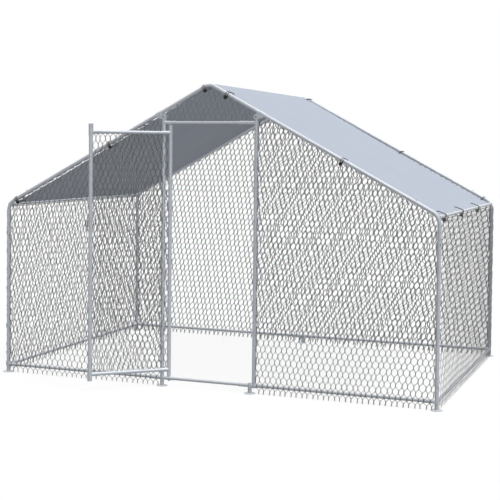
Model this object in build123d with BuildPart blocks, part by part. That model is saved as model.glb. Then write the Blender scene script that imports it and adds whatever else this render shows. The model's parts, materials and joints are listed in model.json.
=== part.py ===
from build123d import *
from math import asin, atan2, cos, degrees, radians, sin, sqrt, tan
import os

# Walk-in chicken coop: a bolted frame of round steel tube with a peaked roof, netted walls,
# a hinged door in the front gable and a stretched sheet for a roof.
# Millimetres. +X runs to the right along the front, -Y faces the front, +Z is up.
# The origin is on the ground at the middle of the four corner posts.

# Overall sizes
width = 3000.0                  # outside of the corner posts, along the gable
depth = 2000.0                  # outside of the corner posts, along the eaves
eave_height = 1162.0            # where the axes of post and rafter meet
ridge_height = 1962.0           # where the axes of the two rafters meet

# Tubes and their joints
post_dia = 25.0
rail_dia = 20.0
tube_wall = 1.0
spigot_clearance = 0.2          # radial, spigot in tube
spigot_length = 45.0
spigot_wall = 1.2
shoulder = 3.0                  # necked length behind a spigot
joint_gap = 0.3                 # between a tube's end and the shoulder that it stands on
sleeve_clearance = 0.25         # radial, rail in sleeve
sleeve_wall = 1.75
sleeve_length = 75.0            # from the axis of the post
rail_insertion = 45.0

# Feet
foot_dia = 72.0
foot_thickness = 2.5
peg_hole_dia = 9.0
peg_hole_reach = 25.0           # from the axis of the leg
foot_height = 118.0             # where the post begins
rail_height = 52.0              # axis of the bottom rails

# Bends
eave_bend = 90.0
peak_bend = 70.0
eave_leg = 150.0                # both legs of an eave elbow, from where the axes meet
peak_arm = 160.0                # both arms of a peak elbow, from where the axes meet
upper_rafter_end = 665.0        # lower end of an upper rafter, from the peak
eave_rail_inset = 6.0           # eave rail's axis inside the posts' axes
eave_rail_drop = 6.0            # eave rail's axis below where post and rafter meet

# Doorway and door
door_post_x = 320.0             # axes of the door posts, each side of the middle
door_post_top_gap = 3.0         # between the end of a door post and the rafter
header_drop = 75.0              # header's axis below the rafter's, at the door posts
header_sleeve = 115.0           # right-hand sleeve of the header
pivot_side_gap = 23.0           # between the left door post and the hinge stile
pivot_rail_gap = 3.0            # between a pivot pin and the end of the rail beside it
pivot_insertion = 30.0          # rail in a pivot sleeve
pivot_pin_dia = 8.0
pivot_clearance = 0.05
pivot_gap = 3.0                 # between a stile's end and the sleeve next to it
pivot_depth = 18.0              # pin in the stile
pivot_collar_dia = 16.0
pivot_head_dia = 13.0
pivot_head_height = 5.0
stile_plug = 15.0
leg_gap = 2.0                   # between the right door foot's leg and the post beside it
latch_gap = 67.0                # latch stile's axis from the right door post's, when closed
door_rail_dia = 22.0
door_top_drop = 51.0            # top rail's axis below the stiles' tops
door_bottom_rise = 42.0         # bottom rail's axis above the stiles' bottoms
door_open_angle = 138.0         # as it stands, measured from closed
tee_clearance = 0.2
tee_wall = 2.3
tee_height = 76.0
tee_reach = 60.0                # rail sleeve of a tee or stile, from the stile's axis
door_rail_insertion = 35.0

# Latch
latch_height = 1090.0
latch_collar_height = 30.0
latch_collar_wall = 3.0
latch_lug = 8.3                 # from the latch's collar to the axis of its pivot
latch_barrel_dia = 12.0
latch_barrel_length = 26.0
fork_dia = 6.0
fork_clearance = 0.05
fork_gap = 2.0                  # between a tine and the net on the door post
fork_bend = 6.0
fork_length = 66.0

# Clamps that hold the door posts to the rafters
clamp_sheet = 2.5
clamp_clearance = 0.2
clamp_length = 32.0             # along the rafter
clamp_offset = 45.0             # middle of the clamp outside the door post, along the rafter
clamp_ear_radius = 16.0
clamp_bolt_drop = 13.0          # bolt below the end of the door post
bolt_dia = 6.0
bolt_clearance = 0.2
bolt_head_dia = 11.0
bolt_head_height = 4.0
bolt_tail = 4.0                 # past the nut

# Self-drilling screws at the tube joints
screw_dia = 4.8
screw_clearance = 0.1
screw_setback = 20.0            # from the joint
screw_depth = 5.0               # inside the outer wall
screw_head_dia = 8.0
screw_head_height = 4.0
screw_flange_dia = 10.5
screw_flange = 1.0

# Wire netting
net_gap = 0.5                   # off the tubes
net_thickness = 1.5
net_strand = 3.0
net_rim = 5.0
net_floor_gap = 5.0
net_overrun = 4.0               # past the axis of the tube that it is tied to
net_cells = 190                 # whole gaps that a net of this area would have
net_cell_ratio = 1.2            # height of a row over the width of a cell
net_slant_share = 0.52          # share of a row that the slanted strands climb
net_least_gap = 0.12            # share of a whole gap, under which a cut gap stays closed
clamp_notch = 2.0

# Roof cover and its ball ties
cover_thickness = 1.0
cover_gap = 0.3                 # over the ridge rail's sleeves
cover_gable_setback = 58.0      # edge of the sheet inside the rafters' axes
cover_eave_setback = 14.0       # edge of the sheet inside the eave rails' axes
eyelet_gable_setback = 50.0     # from the front or rear edge of the sheet
eyelet_eave_setback = 38.0      # from the sheet's edge at an eave
eyelet_bore = 9.0
eyelet_wall = 1.0
eyelet_flange_dia = 22.0
eyelet_flange = 1.0
eyelet_clearance = 0.2
cord_dia = 4.0
cord_gap = 0.3
cord_turn = 5.0                 # bends of the cord at the eyelet
cord_end_gap = 0.1              # between a cord's end and its ball
ball_dia = 25.0
ball_gap = 1.5                  # between ball and tube
ball_swing = 22.0               # degrees that a ball on a rafter stands out from straight below
tie_notch = 1.5
corner_tie_inset = 62.5         # lowest tie of a rafter, from the corner post's axis
ridge_tie_gap = 6.85            # highest tie of a rafter, from the end of the peak's bend
second_ridge_tie = 82.0         # the next tie along the front right rafter
middle_tie_share = 0.484        # middle tie of the front left rafter, as a share of the half width
front_tie_share = 0.595         # and of the front right rafter
rear_tie_share = 0.534          # and of the rear right rafter
eave_tie_shares = (-0.83, -0.243, 0.375)    # ties of the right eave, as shares of the half depth

# Worked out from the sizes above
post_r = post_dia / 2
rail_r = rail_dia / 2
post_x = width / 2 - post_r
post_y = depth / 2 - post_r
post_bore = post_dia - 2 * tube_wall
spigot_dia = post_bore - 2 * spigot_clearance
spigot_bore = spigot_dia - 2 * spigot_wall
sleeve_bore = rail_dia + 2 * sleeve_clearance
sleeve_dia = sleeve_bore + 2 * sleeve_wall
pitch = atan2(ridge_height - eave_height, post_x)
ridge_rail_z = ridge_height - peak_bend * (1 / cos(pitch) - 1)
eave_rail_x = post_x - eave_rail_inset
eave_rail_z = eave_height - eave_rail_drop
rail_gap = sleeve_length - rail_insertion
sleeve_r = sleeve_dia / 2
weld_top = rail_height + sleeve_r + shoulder
weld_bottom = rail_height - sleeve_r - shoulder
rafter_over_door_post = ridge_height - door_post_x * tan(pitch)
header_height = rafter_over_door_post - header_drop
door_post_top = rafter_over_door_post - post_r / cos(pitch) - post_r * tan(pitch) - door_post_top_gap
clamp_bolt_z = door_post_top - clamp_bolt_drop
pivot_reach = post_dia + pivot_side_gap
pivot_rail_start = pivot_reach + pivot_pin_dia / 2 + pivot_rail_gap
pivot_sleeve = pivot_rail_start + pivot_insertion
hinge_x = pivot_reach - door_post_x
door_width = 2 * door_post_x - pivot_reach - latch_gap
stile_bottom = rail_height + sleeve_r + pivot_gap
stile_top = header_height - sleeve_r - pivot_gap
net_stand_off = max(post_r, sleeve_r) + net_gap
net_y = post_y + net_stand_off
net_x = post_x + net_stand_off
ridge_tie = peak_bend * sin(pitch) + ridge_tie_gap
corner_tie = post_x - corner_tie_inset
middle_tie = middle_tie_share * post_x
front_ties = (-corner_tie, -middle_tie, -ridge_tie, ridge_tie + second_ridge_tie, front_tie_share * post_x)
rear_ties = (ridge_tie, rear_tie_share * post_x, corner_tie)
eave_ties = [share * post_y for share in eave_tie_shares]

os.makedirs("parts", exist_ok=True)


def save(piece, name):
    """Label a finished piece and write it as a STEP file of its own."""
    piece.part.label = name
    export_step(piece.part, f"parts/{name}.step")


def rod(start, end, diameter, mode=Mode.ADD):
    """A round bar from start to end, added to or cut from the part being made."""
    run = Vector(*end) - Vector(*start)
    with BuildSketch(Plane(origin=start, z_dir=run)) as section:
        Circle(diameter / 2)
    extrude(section.sketch, amount=run.length, mode=mode)


def tube(start, end, diameter, bore):
    """A straight length of tube."""
    run = Vector(*end) - Vector(*start)
    with BuildSketch(Plane(origin=start, z_dir=run)) as section:
        Circle(diameter / 2)
        Circle(bore / 2, mode=Mode.SUBTRACT)
    extrude(section.sketch, amount=run.length)


def bent_bar(corners, bend, diameter, mode=Mode.ADD):
    """A round bar along the corners, each rounded to the bend's radius."""
    with BuildLine() as route:
        FilletPolyline(*corners, radius=bend)
    first_run = Vector(*corners[1]) - Vector(*corners[0])
    with BuildSketch(Plane(origin=corners[0], z_dir=first_run)) as section:
        Circle(diameter / 2)
    sweep(section.sketch, path=route.line, mode=mode)


def along(start, end, distance):
    """The point at a distance from start on the way to end."""
    return Vector(*start) + (Vector(*end) - Vector(*start)).normalized() * distance


def add_spigot(joint, beyond):
    """The necked end of a tube, from its joint towards a point beyond it."""
    rod(joint, along(joint, beyond, spigot_length), spigot_dia)
    rod(along(joint, beyond, -shoulder), along(joint, beyond, spigot_length), spigot_bore, Mode.SUBTRACT)


def add_sleeve(start, end, solid_length):
    """A rail's sleeve welded at start: open at its end, solid near the tube that carries it."""
    rod(start, end, sleeve_dia)
    rod(along(start, end, solid_length), end, sleeve_bore, Mode.SUBTRACT)


def screw_place(joint, beyond, side):
    """Where a screw enters past a joint: a plane on the tube's axis that faces the screw's head."""
    return Plane(origin=along(joint, beyond, screw_setback), z_dir=side)


def screw_hole(place):
    """The hole of one screw, through one side of a tube or spigot."""
    with BuildSketch(place) as hole:
        Circle(screw_dia / 2 + screw_clearance)
    extrude(hole.sketch, amount=post_dia, mode=Mode.SUBTRACT)


# Points of the frame, on tube axes
ends = {"front": -1, "rear": 1}
sides = {"left": -1, "right": 1}


def foot_joint(sx, sy):
    return Vector(sx * post_x, sy * post_y, foot_height)


def eave_corner(sx, sy):
    return Vector(sx * post_x, sy * post_y, eave_height)


def peak(sy):
    return Vector(0, sy * post_y, ridge_height)


def rafter_z(x):
    return ridge_height - abs(x) * tan(pitch)


def roof_normal(sx):
    return Vector(sx * sin(pitch), 0, cos(pitch))


# The joints of the frame: where each tube ends, the way it goes on, and where the screw's head faces
def post_top_joint(sx, sy):
    return along(eave_corner(sx, sy), foot_joint(sx, sy), eave_leg)


def rafter_foot_joint(sx, sy):
    return along(eave_corner(sx, sy), peak(sy), eave_leg)


def rafter_mid_joint(sx, sy):
    return along(peak(sy), eave_corner(sx, sy), upper_rafter_end)


def rafter_top_joint(sx, sy):
    return along(peak(sy), eave_corner(sx, sy), peak_arm)


screw_places = {}
for end, sy in ends.items():
    for side, sx in sides.items():
        corner = Vector(sx, sy, 0)
        top = eave_corner(sx, sy)
        screw_places[f"{end}_{side}_foot"] = screw_place(foot_joint(sx, sy), top, corner)
        screw_places[f"{end}_{side}_post_top"] = screw_place(
            post_top_joint(sx, sy), foot_joint(sx, sy), corner
        )
        screw_places[f"{end}_{side}_rafter_foot"] = screw_place(
            rafter_foot_joint(sx, sy), peak(sy), roof_normal(sx)
        )
        screw_places[f"{end}_{side}_rafter_mid"] = screw_place(
            rafter_mid_joint(sx, sy), peak(sy), -roof_normal(sx)
        )
        screw_places[f"{end}_{side}_rafter_top"] = screw_place(
            rafter_top_joint(sx, sy), top, -roof_normal(sx)
        )
for side, sx in sides.items():
    screw_places[f"{side}_door_foot"] = screw_place(
        (sx * door_post_x, -post_y, foot_height), (sx * door_post_x, -post_y, header_height), (0, 1, 0)
    )


def add_foot_plate(x, y, hole_x, hole_y):
    """A round foot plate on the ground, with a hole for a ground peg beside the leg."""
    reach = peg_hole_reach / sqrt(hole_x**2 + hole_y**2)
    with BuildSketch() as plate:
        with Locations((x, y)):
            Circle(foot_dia / 2)
        with Locations((x + hole_x * reach, y + hole_y * reach)):
            Circle(peg_hole_dia / 2, mode=Mode.SUBTRACT)
    extrude(plate.sketch, amount=foot_thickness)


def cut_leg_bore(x, y, top):
    """The bore of a foot's leg, closed by the foot plate and by the neck of its spigot."""
    rod((x, y, foot_thickness), (x, y, top - shoulder), post_bore, Mode.SUBTRACT)


# Corner feet: plate, leg, two rail sleeves and the spigot of the post
solid_root = post_r + 2 * tube_wall
for end, sy in ends.items():
    for side, sx in sides.items():
        x, y = sx * post_x, sy * post_y
        with BuildPart() as corner_foot:
            add_foot_plate(x, y, -sx, -sy)
            rod((x, y, foot_thickness / 2), (x, y, foot_height), post_dia)
            add_sleeve((x, y, rail_height), (x - sx * sleeve_length, y, rail_height), solid_root)
            add_sleeve((x, y, rail_height), (x, y - sy * sleeve_length, rail_height), solid_root)
            cut_leg_bore(x, y, foot_height)
            add_spigot((x, y, foot_height), (x, y, eave_height))
            screw_hole(screw_places[f"{end}_{side}_foot"])
        save(corner_foot, f"{end}_{side}_foot")

# Left door foot: in line with its post, with the lower pivot's sleeve
with BuildPart() as left_door_foot:
    add_foot_plate(-door_post_x, -post_y, 0, 1)
    rod((-door_post_x, -post_y, foot_thickness / 2), (-door_post_x, -post_y, foot_height), post_dia)
    add_sleeve(
        (-door_post_x, -post_y, rail_height),
        (-door_post_x - sleeve_length, -post_y, rail_height),
        solid_root,
    )
    add_sleeve(
        (-door_post_x, -post_y, rail_height),
        (-door_post_x + pivot_sleeve, -post_y, rail_height),
        solid_root,
    )
    cut_leg_bore(-door_post_x, -post_y, foot_height)
    add_spigot((-door_post_x, -post_y, foot_height), (-door_post_x, -post_y, eave_height))
    screw_hole(screw_places["left_door_foot"])
    rod(
        (hinge_x, -post_y, rail_height - sleeve_dia),
        (hinge_x, -post_y, rail_height + sleeve_dia),
        pivot_pin_dia + 2 * pivot_clearance,
        Mode.SUBTRACT,
    )
save(left_door_foot, "left_door_foot")

# Right door foot: its leg stands beside the socket of the post
leg_x = door_post_x - post_dia - leg_gap
with BuildPart() as right_door_foot:
    add_foot_plate(leg_x, -post_y, 0, 1)
    rod((leg_x, -post_y, foot_thickness / 2), (leg_x, -post_y, weld_top), post_dia)
    rod((door_post_x, -post_y, weld_bottom), (door_post_x, -post_y, foot_height), post_dia)
    rod((leg_x, -post_y, rail_height), (door_post_x, -post_y, rail_height), sleeve_dia)
    rod((leg_x, -post_y, foot_thickness), (leg_x, -post_y, weld_bottom), post_bore, Mode.SUBTRACT)
    add_sleeve((leg_x, -post_y, rail_height), (leg_x - sleeve_length, -post_y, rail_height), solid_root)
    add_sleeve(
        (door_post_x, -post_y, rail_height), (door_post_x + sleeve_length, -post_y, rail_height), solid_root
    )
    rod(
        (door_post_x, -post_y, weld_top),
        (door_post_x, -post_y, foot_height - shoulder),
        post_bore,
        Mode.SUBTRACT,
    )
    add_spigot((door_post_x, -post_y, foot_height), (door_post_x, -post_y, eave_height))
    screw_hole(screw_places["right_door_foot"])
save(right_door_foot, "right_door_foot")

# Middle foot of the rear: a short leg under the joint of the two rear rails
with BuildPart() as rear_middle_foot:
    add_foot_plate(0, post_y, 0, -1)
    rod((0, post_y, foot_thickness / 2), (0, post_y, rail_height), post_dia)
    rod((0, post_y, foot_thickness), (0, post_y, weld_bottom), post_bore, Mode.SUBTRACT)
    add_sleeve((0, post_y, rail_height), (-sleeve_length, post_y, rail_height), solid_root)
    add_sleeve((0, post_y, rail_height), (sleeve_length, post_y, rail_height), solid_root)
save(rear_middle_foot, "rear_middle_foot")

# Gable ends: posts, elbows and rafters
for end, sy in ends.items():
    for side, sx in sides.items():
        low = foot_joint(sx, sy)
        high = post_top_joint(sx, sy)
        with BuildPart() as corner_post:
            tube(along(low, high, joint_gap), along(high, low, joint_gap), post_dia, post_bore)
            screw_hole(screw_places[f"{end}_{side}_foot"])
            screw_hole(screw_places[f"{end}_{side}_post_top"])
        save(corner_post, f"{end}_{side}_post")

        corner = eave_corner(sx, sy)
        arm = rafter_foot_joint(sx, sy)
        with BuildPart() as eave_elbow:
            bent_bar((high, corner, arm), eave_bend, post_dia)
            rod(
                (sx * eave_rail_x, sy * post_y, eave_rail_z),
                (sx * eave_rail_x, sy * (post_y - sleeve_length), eave_rail_z),
                sleeve_dia,
            )
            bent_bar(
                (along(high, corner, shoulder), corner, along(arm, corner, shoulder)),
                eave_bend,
                post_bore,
                Mode.SUBTRACT,
            )
            rod(
                (sx * eave_rail_x, sy * (post_y - solid_root), eave_rail_z),
                (sx * eave_rail_x, sy * (post_y - sleeve_length), eave_rail_z),
                sleeve_bore,
                Mode.SUBTRACT,
            )
            add_spigot(high, low)
            add_spigot(arm, peak(sy))
            screw_hole(screw_places[f"{end}_{side}_post_top"])
            screw_hole(screw_places[f"{end}_{side}_rafter_foot"])
        save(eave_elbow, f"{end}_{side}_eave_elbow")

        middle = rafter_mid_joint(sx, sy)
        with BuildPart() as lower_rafter:
            tube(along(arm, middle, joint_gap), middle, post_dia, post_bore)
            tube(along(middle, arm, shoulder), middle, post_bore, spigot_bore)
            add_spigot(middle, peak(sy))
            screw_hole(screw_places[f"{end}_{side}_rafter_foot"])
            screw_hole(screw_places[f"{end}_{side}_rafter_mid"])
        save(lower_rafter, f"{end}_{side}_lower_rafter")

        top = rafter_top_joint(sx, sy)
        with BuildPart() as upper_rafter:
            tube(along(middle, top, joint_gap), along(top, middle, joint_gap), post_dia, post_bore)
            screw_hole(screw_places[f"{end}_{side}_rafter_mid"])
            screw_hole(screw_places[f"{end}_{side}_rafter_top"])
        save(upper_rafter, f"{end}_{side}_upper_rafter")

    left_top = rafter_top_joint(-1, sy)
    right_top = rafter_top_joint(1, sy)
    with BuildPart() as peak_elbow:
        bent_bar((left_top, peak(sy), right_top), peak_bend, post_dia)
        rod((0, sy * post_y, ridge_rail_z), (0, sy * (post_y - sleeve_length), ridge_rail_z), sleeve_dia)
        bent_bar(
            (along(left_top, peak(sy), shoulder), peak(sy), along(right_top, peak(sy), shoulder)),
            peak_bend,
            post_bore,
            Mode.SUBTRACT,
        )
        rod(
            (0, sy * (post_y - solid_root), ridge_rail_z),
            (0, sy * (post_y - sleeve_length), ridge_rail_z),
            sleeve_bore,
            Mode.SUBTRACT,
        )
        add_spigot(left_top, eave_corner(-1, sy))
        add_spigot(right_top, eave_corner(1, sy))
        screw_hole(screw_places[f"{end}_left_rafter_top"])
        screw_hole(screw_places[f"{end}_right_rafter_top"])
    save(peak_elbow, f"{end}_peak_elbow")


# Rails, each from inside one sleeve to inside the next
rail_runs = {
    "left_eave_rail": (
        (-eave_rail_x, rail_gap - post_y, eave_rail_z),
        (-eave_rail_x, post_y - rail_gap, eave_rail_z),
    ),
    "right_eave_rail": (
        (eave_rail_x, rail_gap - post_y, eave_rail_z),
        (eave_rail_x, post_y - rail_gap, eave_rail_z),
    ),
    "ridge_rail": ((0, rail_gap - post_y, ridge_rail_z), (0, post_y - rail_gap, ridge_rail_z)),
    "left_bottom_rail": (
        (-post_x, rail_gap - post_y, rail_height),
        (-post_x, post_y - rail_gap, rail_height),
    ),
    "right_bottom_rail": (
        (post_x, rail_gap - post_y, rail_height),
        (post_x, post_y - rail_gap, rail_height),
    ),
    "rear_left_bottom_rail": (
        (rail_gap - post_x, post_y, rail_height),
        (-rail_gap, post_y, rail_height),
    ),
    "rear_right_bottom_rail": (
        (rail_gap, post_y, rail_height),
        (post_x - rail_gap, post_y, rail_height),
    ),
    "front_left_bottom_rail": (
        (rail_gap - post_x, -post_y, rail_height),
        (-door_post_x - rail_gap, -post_y, rail_height),
    ),
    "front_right_bottom_rail": (
        (door_post_x + rail_gap, -post_y, rail_height),
        (post_x - rail_gap, -post_y, rail_height),
    ),
    "threshold_rail": (
        (-door_post_x + pivot_rail_start, -post_y, rail_height),
        (leg_x - rail_gap, -post_y, rail_height),
    ),
    "door_header": (
        (-door_post_x + pivot_rail_start, -post_y, header_height),
        (door_post_x - header_sleeve + rail_insertion, -post_y, header_height),
    ),
}
for name, (start, stop) in rail_runs.items():
    with BuildPart() as rail:
        tube(start, stop, rail_dia, rail_dia - 2 * tube_wall)
    save(rail, name)

# Door posts: each with the header's sleeve and the hole of the clamp's bolt
for side, sx in sides.items():
    x = sx * door_post_x
    reach = pivot_sleeve if side == "left" else header_sleeve
    with BuildPart() as door_post:
        rod((x, -post_y, foot_height + joint_gap), (x, -post_y, door_post_top), post_dia)
        add_sleeve((x, -post_y, header_height), (x - sx * reach, -post_y, header_height), solid_root)
        rod((x, -post_y, foot_height), (x, -post_y, door_post_top), post_bore, Mode.SUBTRACT)
        screw_hole(screw_places[f"{side}_door_foot"])
        rod(
            (x, -post_y - post_dia, clamp_bolt_z),
            (x, -post_y + post_dia, clamp_bolt_z),
            bolt_dia + 2 * bolt_clearance,
            Mode.SUBTRACT,
        )
        if side == "left":
            rod(
                (hinge_x, -post_y, header_height - sleeve_dia),
                (hinge_x, -post_y, header_height + sleeve_dia),
                pivot_pin_dia + 2 * pivot_clearance,
                Mode.SUBTRACT,
            )
    save(door_post, f"{side}_door_post")

# Pivot pins of the door: the lower one carries the door on a collar
with BuildPart() as hinge_pins:
    rod(
        (hinge_x, -post_y, rail_height - sleeve_r),
        (hinge_x, -post_y, stile_bottom + pivot_depth),
        pivot_pin_dia,
    )
    rod(
        (hinge_x, -post_y, rail_height - sleeve_r - pivot_head_height),
        (hinge_x, -post_y, rail_height - sleeve_r - joint_gap),
        pivot_head_dia,
    )
    rod(
        (hinge_x, -post_y, rail_height - sleeve_r - joint_gap),
        (hinge_x, -post_y, rail_height - sleeve_r),
        pivot_pin_dia,
    )
    rod(
        (hinge_x, -post_y, rail_height + sleeve_r + joint_gap),
        (hinge_x, -post_y, stile_bottom - joint_gap),
        pivot_collar_dia,
    )
    rod(
        (hinge_x, -post_y, stile_top - pivot_depth),
        (hinge_x, -post_y, header_height + sleeve_r + joint_gap),
        pivot_pin_dia,
    )
    rod(
        (hinge_x, -post_y, header_height + sleeve_r + joint_gap),
        (hinge_x, -post_y, header_height + sleeve_r + pivot_head_height),
        pivot_head_dia,
    )
save(hinge_pins, "hinge_pins")

# Clamps: a folded sheet over the rafter whose two ears are bolted through the door post
clamp_r = post_r + clamp_clearance
with BuildPart() as post_clamps:
    for sx in sides.values():
        bolt = Vector(sx * door_post_x, -post_y, clamp_bolt_z)
        saddle_x = sx * (door_post_x + clamp_offset * cos(pitch))
        saddle = Plane(
            origin=(saddle_x, -post_y, rafter_z(saddle_x)),
            x_dir=(cos(pitch), 0, -sx * sin(pitch)),
            z_dir=(0, -1, 0),
        )
        with BuildSketch(saddle, mode=Mode.PRIVATE) as ear:
            Rectangle(clamp_length, 2 * (clamp_r + clamp_sheet))
            ear_place = saddle.to_local_coords(bolt)
            with Locations((ear_place.X, ear_place.Y)):
                Circle(clamp_ear_radius)
            make_hull(ear.edges())
        across = Plane(origin=saddle.origin, x_dir=(0, 1, 0), z_dir=saddle.x_dir)
        with BuildSketch(across, mode=Mode.PRIVATE) as fold:
            Circle(clamp_r + clamp_sheet)
            with Locations((0, -clamp_length)):
                Rectangle(2 * (clamp_r + clamp_sheet), 2 * clamp_length)
            Circle(clamp_r, mode=Mode.SUBTRACT)
            with Locations((0, -clamp_length)):
                Rectangle(2 * clamp_r, 2 * clamp_length, mode=Mode.SUBTRACT)
        outline = extrude(ear.sketch, amount=post_dia, both=True, mode=Mode.PRIVATE)
        folded = extrude(fold.sketch, amount=clamp_offset + clamp_length, both=True, mode=Mode.PRIVATE)
        add(outline & folded)
        rod(
            (bolt.X, -post_y - post_dia, bolt.Z),
            (bolt.X, -post_y + post_dia, bolt.Z),
            bolt_dia + 2 * bolt_clearance,
            Mode.SUBTRACT,
        )
save(post_clamps, "post_clamps")

# Bolts of the clamps, with a hexagon head in front and a nut behind
plate_y = clamp_r + clamp_sheet + joint_gap
with BuildPart() as clamp_bolts:
    for sx in sides.values():
        x = sx * door_post_x
        rod(
            (x, -post_y - plate_y - bolt_head_height, clamp_bolt_z),
            (x, -post_y + plate_y + bolt_head_height + bolt_tail, clamp_bolt_z),
            bolt_dia,
        )
        for sy in ends.values():
            with BuildSketch(Plane(origin=(x, -post_y + sy * plate_y, clamp_bolt_z), z_dir=(0, sy, 0))):
                RegularPolygon(bolt_head_dia / 2, 6)
            extrude(amount=bolt_head_height)
save(clamp_bolts, "clamp_bolts")

# Screws of the tube joints: hexagon heads on a flange
with BuildPart() as joint_screws:
    for place in screw_places.values():
        inner = place.offset(post_r - screw_depth)
        seat = place.offset(post_r + joint_gap)
        with BuildSketch(inner):
            Circle(screw_dia / 2)
        extrude(amount=screw_depth + joint_gap + screw_flange)
        with BuildSketch(seat):
            Circle(screw_flange_dia / 2)
        extrude(amount=screw_flange)
        with BuildSketch(seat):
            RegularPolygon(screw_head_dia / 2, 6)
        extrude(amount=screw_head_height)
save(joint_screws, "joint_screws")


def tie_frame(x, y, z, inward, outward):
    """A tie's own plane: x runs into the roof from the tube's axis, y stands off the roof."""
    return Plane(origin=(x, y, z), x_dir=inward, z_dir=inward.cross(outward))


# The cover lies over the ridge rail's sleeves and runs straight down to the axes of the eave rails
ridge_rise = ridge_rail_z - eave_rail_z
cover_over_ridge = sleeve_r + cover_gap + cover_thickness / 2
cover_steepening = asin(cover_over_ridge / sqrt(eave_rail_x**2 + ridge_rise**2))
cover_pitch = atan2(ridge_rise, eave_rail_x) + cover_steepening
cover_fall = tan(cover_pitch)
cover_apex = ridge_rail_z + cover_over_ridge / cos(cover_pitch)
gable_reach = cover_gable_setback + eyelet_gable_setback
eave_reach = cover_eave_setback + eyelet_eave_setback

# Where each tie stands: its plane, the radius of its tube, its eyelet's place in that plane,
# and how far its ball stands out from straight below the tube
ties = []
for sy, places in ((-1, front_ties), (1, rear_ties)):
    for x in places:
        sx = 1 if x > 0 else -1
        frame = tie_frame(x, sy * post_y, rafter_z(x), Vector(0, -sy, 0), roof_normal(sx))
        cover_rise = (cover_apex - abs(x) * cover_fall - rafter_z(x)) * cos(cover_pitch)
        ties.append((frame, post_r, (gable_reach, cover_rise), ball_swing))
uphill = Vector(-cos(pitch), 0, sin(pitch))
eave_cover_rise = eave_reach * tan(cover_pitch - pitch)
for y in eave_ties:
    frame = tie_frame(eave_rail_x, y, eave_rail_z, uphill, roof_normal(sides["right"]))
    ties.append((frame, rail_r, (eave_reach, eave_cover_rise), degrees(pitch)))


def ball_place(tube_r, swing):
    """The middle of a tie's ball in the tie's plane."""
    reach = tube_r + ball_dia / 2 + ball_gap
    return -reach * sin(radians(swing)), -reach * cos(radians(swing))


# Roof cover: one sheet over the ridge, with a hole for each eyelet
cover_edge_x = eave_rail_x - cover_eave_setback * cos(cover_pitch)
cover_edge_z = cover_apex - cover_edge_x * cover_fall
with BuildPart() as roof_cover:
    with BuildSketch(Plane.XZ.offset(cover_gable_setback - post_y)):
        with BuildLine():
            FilletPolyline(
                (-cover_edge_x, cover_edge_z),
                (0, cover_apex),
                (cover_edge_x, cover_edge_z),
                radius=cover_over_ridge,
            )
        trace(line_width=cover_thickness)
    extrude(amount=2 * (post_y - cover_gable_setback))
    for frame, tube_r, eyelet_at, swing in ties:
        middle = frame.from_local_coords((*eyelet_at, 0))
        with BuildSketch(Plane(origin=middle, z_dir=frame.y_dir)):
            Circle(eyelet_bore / 2 + eyelet_wall + eyelet_clearance)
        extrude(amount=eyelet_flange_dia, both=True, mode=Mode.SUBTRACT)
save(roof_cover, "roof_cover")

# Eyelets: a rolled ring through the sheet with a flange on each face
with BuildPart() as cover_eyelets:
    for frame, tube_r, eyelet_at, swing in ties:
        middle = frame.from_local_coords((*eyelet_at, 0))
        face = Plane(origin=middle, z_dir=frame.y_dir)
        half = cover_thickness / 2 + eyelet_clearance
        with BuildSketch(face):
            Circle(eyelet_bore / 2 + eyelet_wall)
            Circle(eyelet_bore / 2, mode=Mode.SUBTRACT)
        extrude(amount=half + eyelet_flange, both=True)
        for rise in (half, -half - eyelet_flange):
            with BuildSketch(face.offset(rise)):
                Circle(eyelet_flange_dia / 2)
                Circle(eyelet_bore / 2, mode=Mode.SUBTRACT)
            extrude(amount=eyelet_flange)
save(cover_eyelets, "cover_eyelets")

# Elastic loops of the ties: from the ball over the tube, down through the eyelet and back
with BuildPart() as tie_loops:
    for frame, tube_r, eyelet_at, swing in ties:
        eyelet_reach, cover_rise = eyelet_at
        turn = tube_r + cord_dia / 2 + cord_gap
        ball_x, ball_y = ball_place(tube_r, swing)
        over_y = cover_rise + eyelet_flange + cord_dia / 2 + cord_turn
        under_y = cover_rise - eyelet_flange - cord_dia / 2 - cord_turn
        ball_reach = sqrt(ball_x**2 + ball_y**2)
        eyelet_distance = sqrt(eyelet_reach**2 + over_y**2)
        # Each straight run touches the circle that the cord makes round the tube
        rise_angle = atan2(-ball_y, -ball_x) + atan2(turn, sqrt(ball_reach**2 - turn**2))
        over_angle = atan2(-over_y, -eyelet_reach) - atan2(turn, sqrt(eyelet_distance**2 - turn**2))
        cross = sin(rise_angle - over_angle)
        run_x, run_y = eyelet_reach - ball_x, over_y - ball_y
        run = (run_y * cos(over_angle) - run_x * sin(over_angle)) / cross
        route_points = (
            (ball_x, ball_y),
            (ball_x + run * cos(rise_angle), ball_y + run * sin(rise_angle)),
            (eyelet_reach, over_y),
            (eyelet_reach, under_y),
            (ball_x, ball_y - cord_dia / 2),
        )
        with BuildLine(frame) as route:
            FilletPolyline(*route_points, radius=(turn, cord_turn, cord_turn))
        start = frame.from_local_coords((ball_x, ball_y, 0))
        heading = frame.x_dir * cos(rise_angle) + frame.y_dir * sin(rise_angle)
        with BuildSketch(Plane(origin=start, z_dir=heading)):
            Circle(cord_dia / 2)
        sweep(path=route.line)
        with Locations(start):
            Sphere(ball_dia / 2 + cord_end_gap, mode=Mode.SUBTRACT)
save(tie_loops, "tie_loops")

# Balls of the ties
with BuildPart() as tie_balls:
    for frame, tube_r, eyelet_at, swing in ties:
        ball_x, ball_y = ball_place(tube_r, swing)
        with Locations(frame.from_local_coords((ball_x, ball_y, 0))):
            Sphere(ball_dia / 2)
save(tie_balls, "tie_balls")


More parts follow.
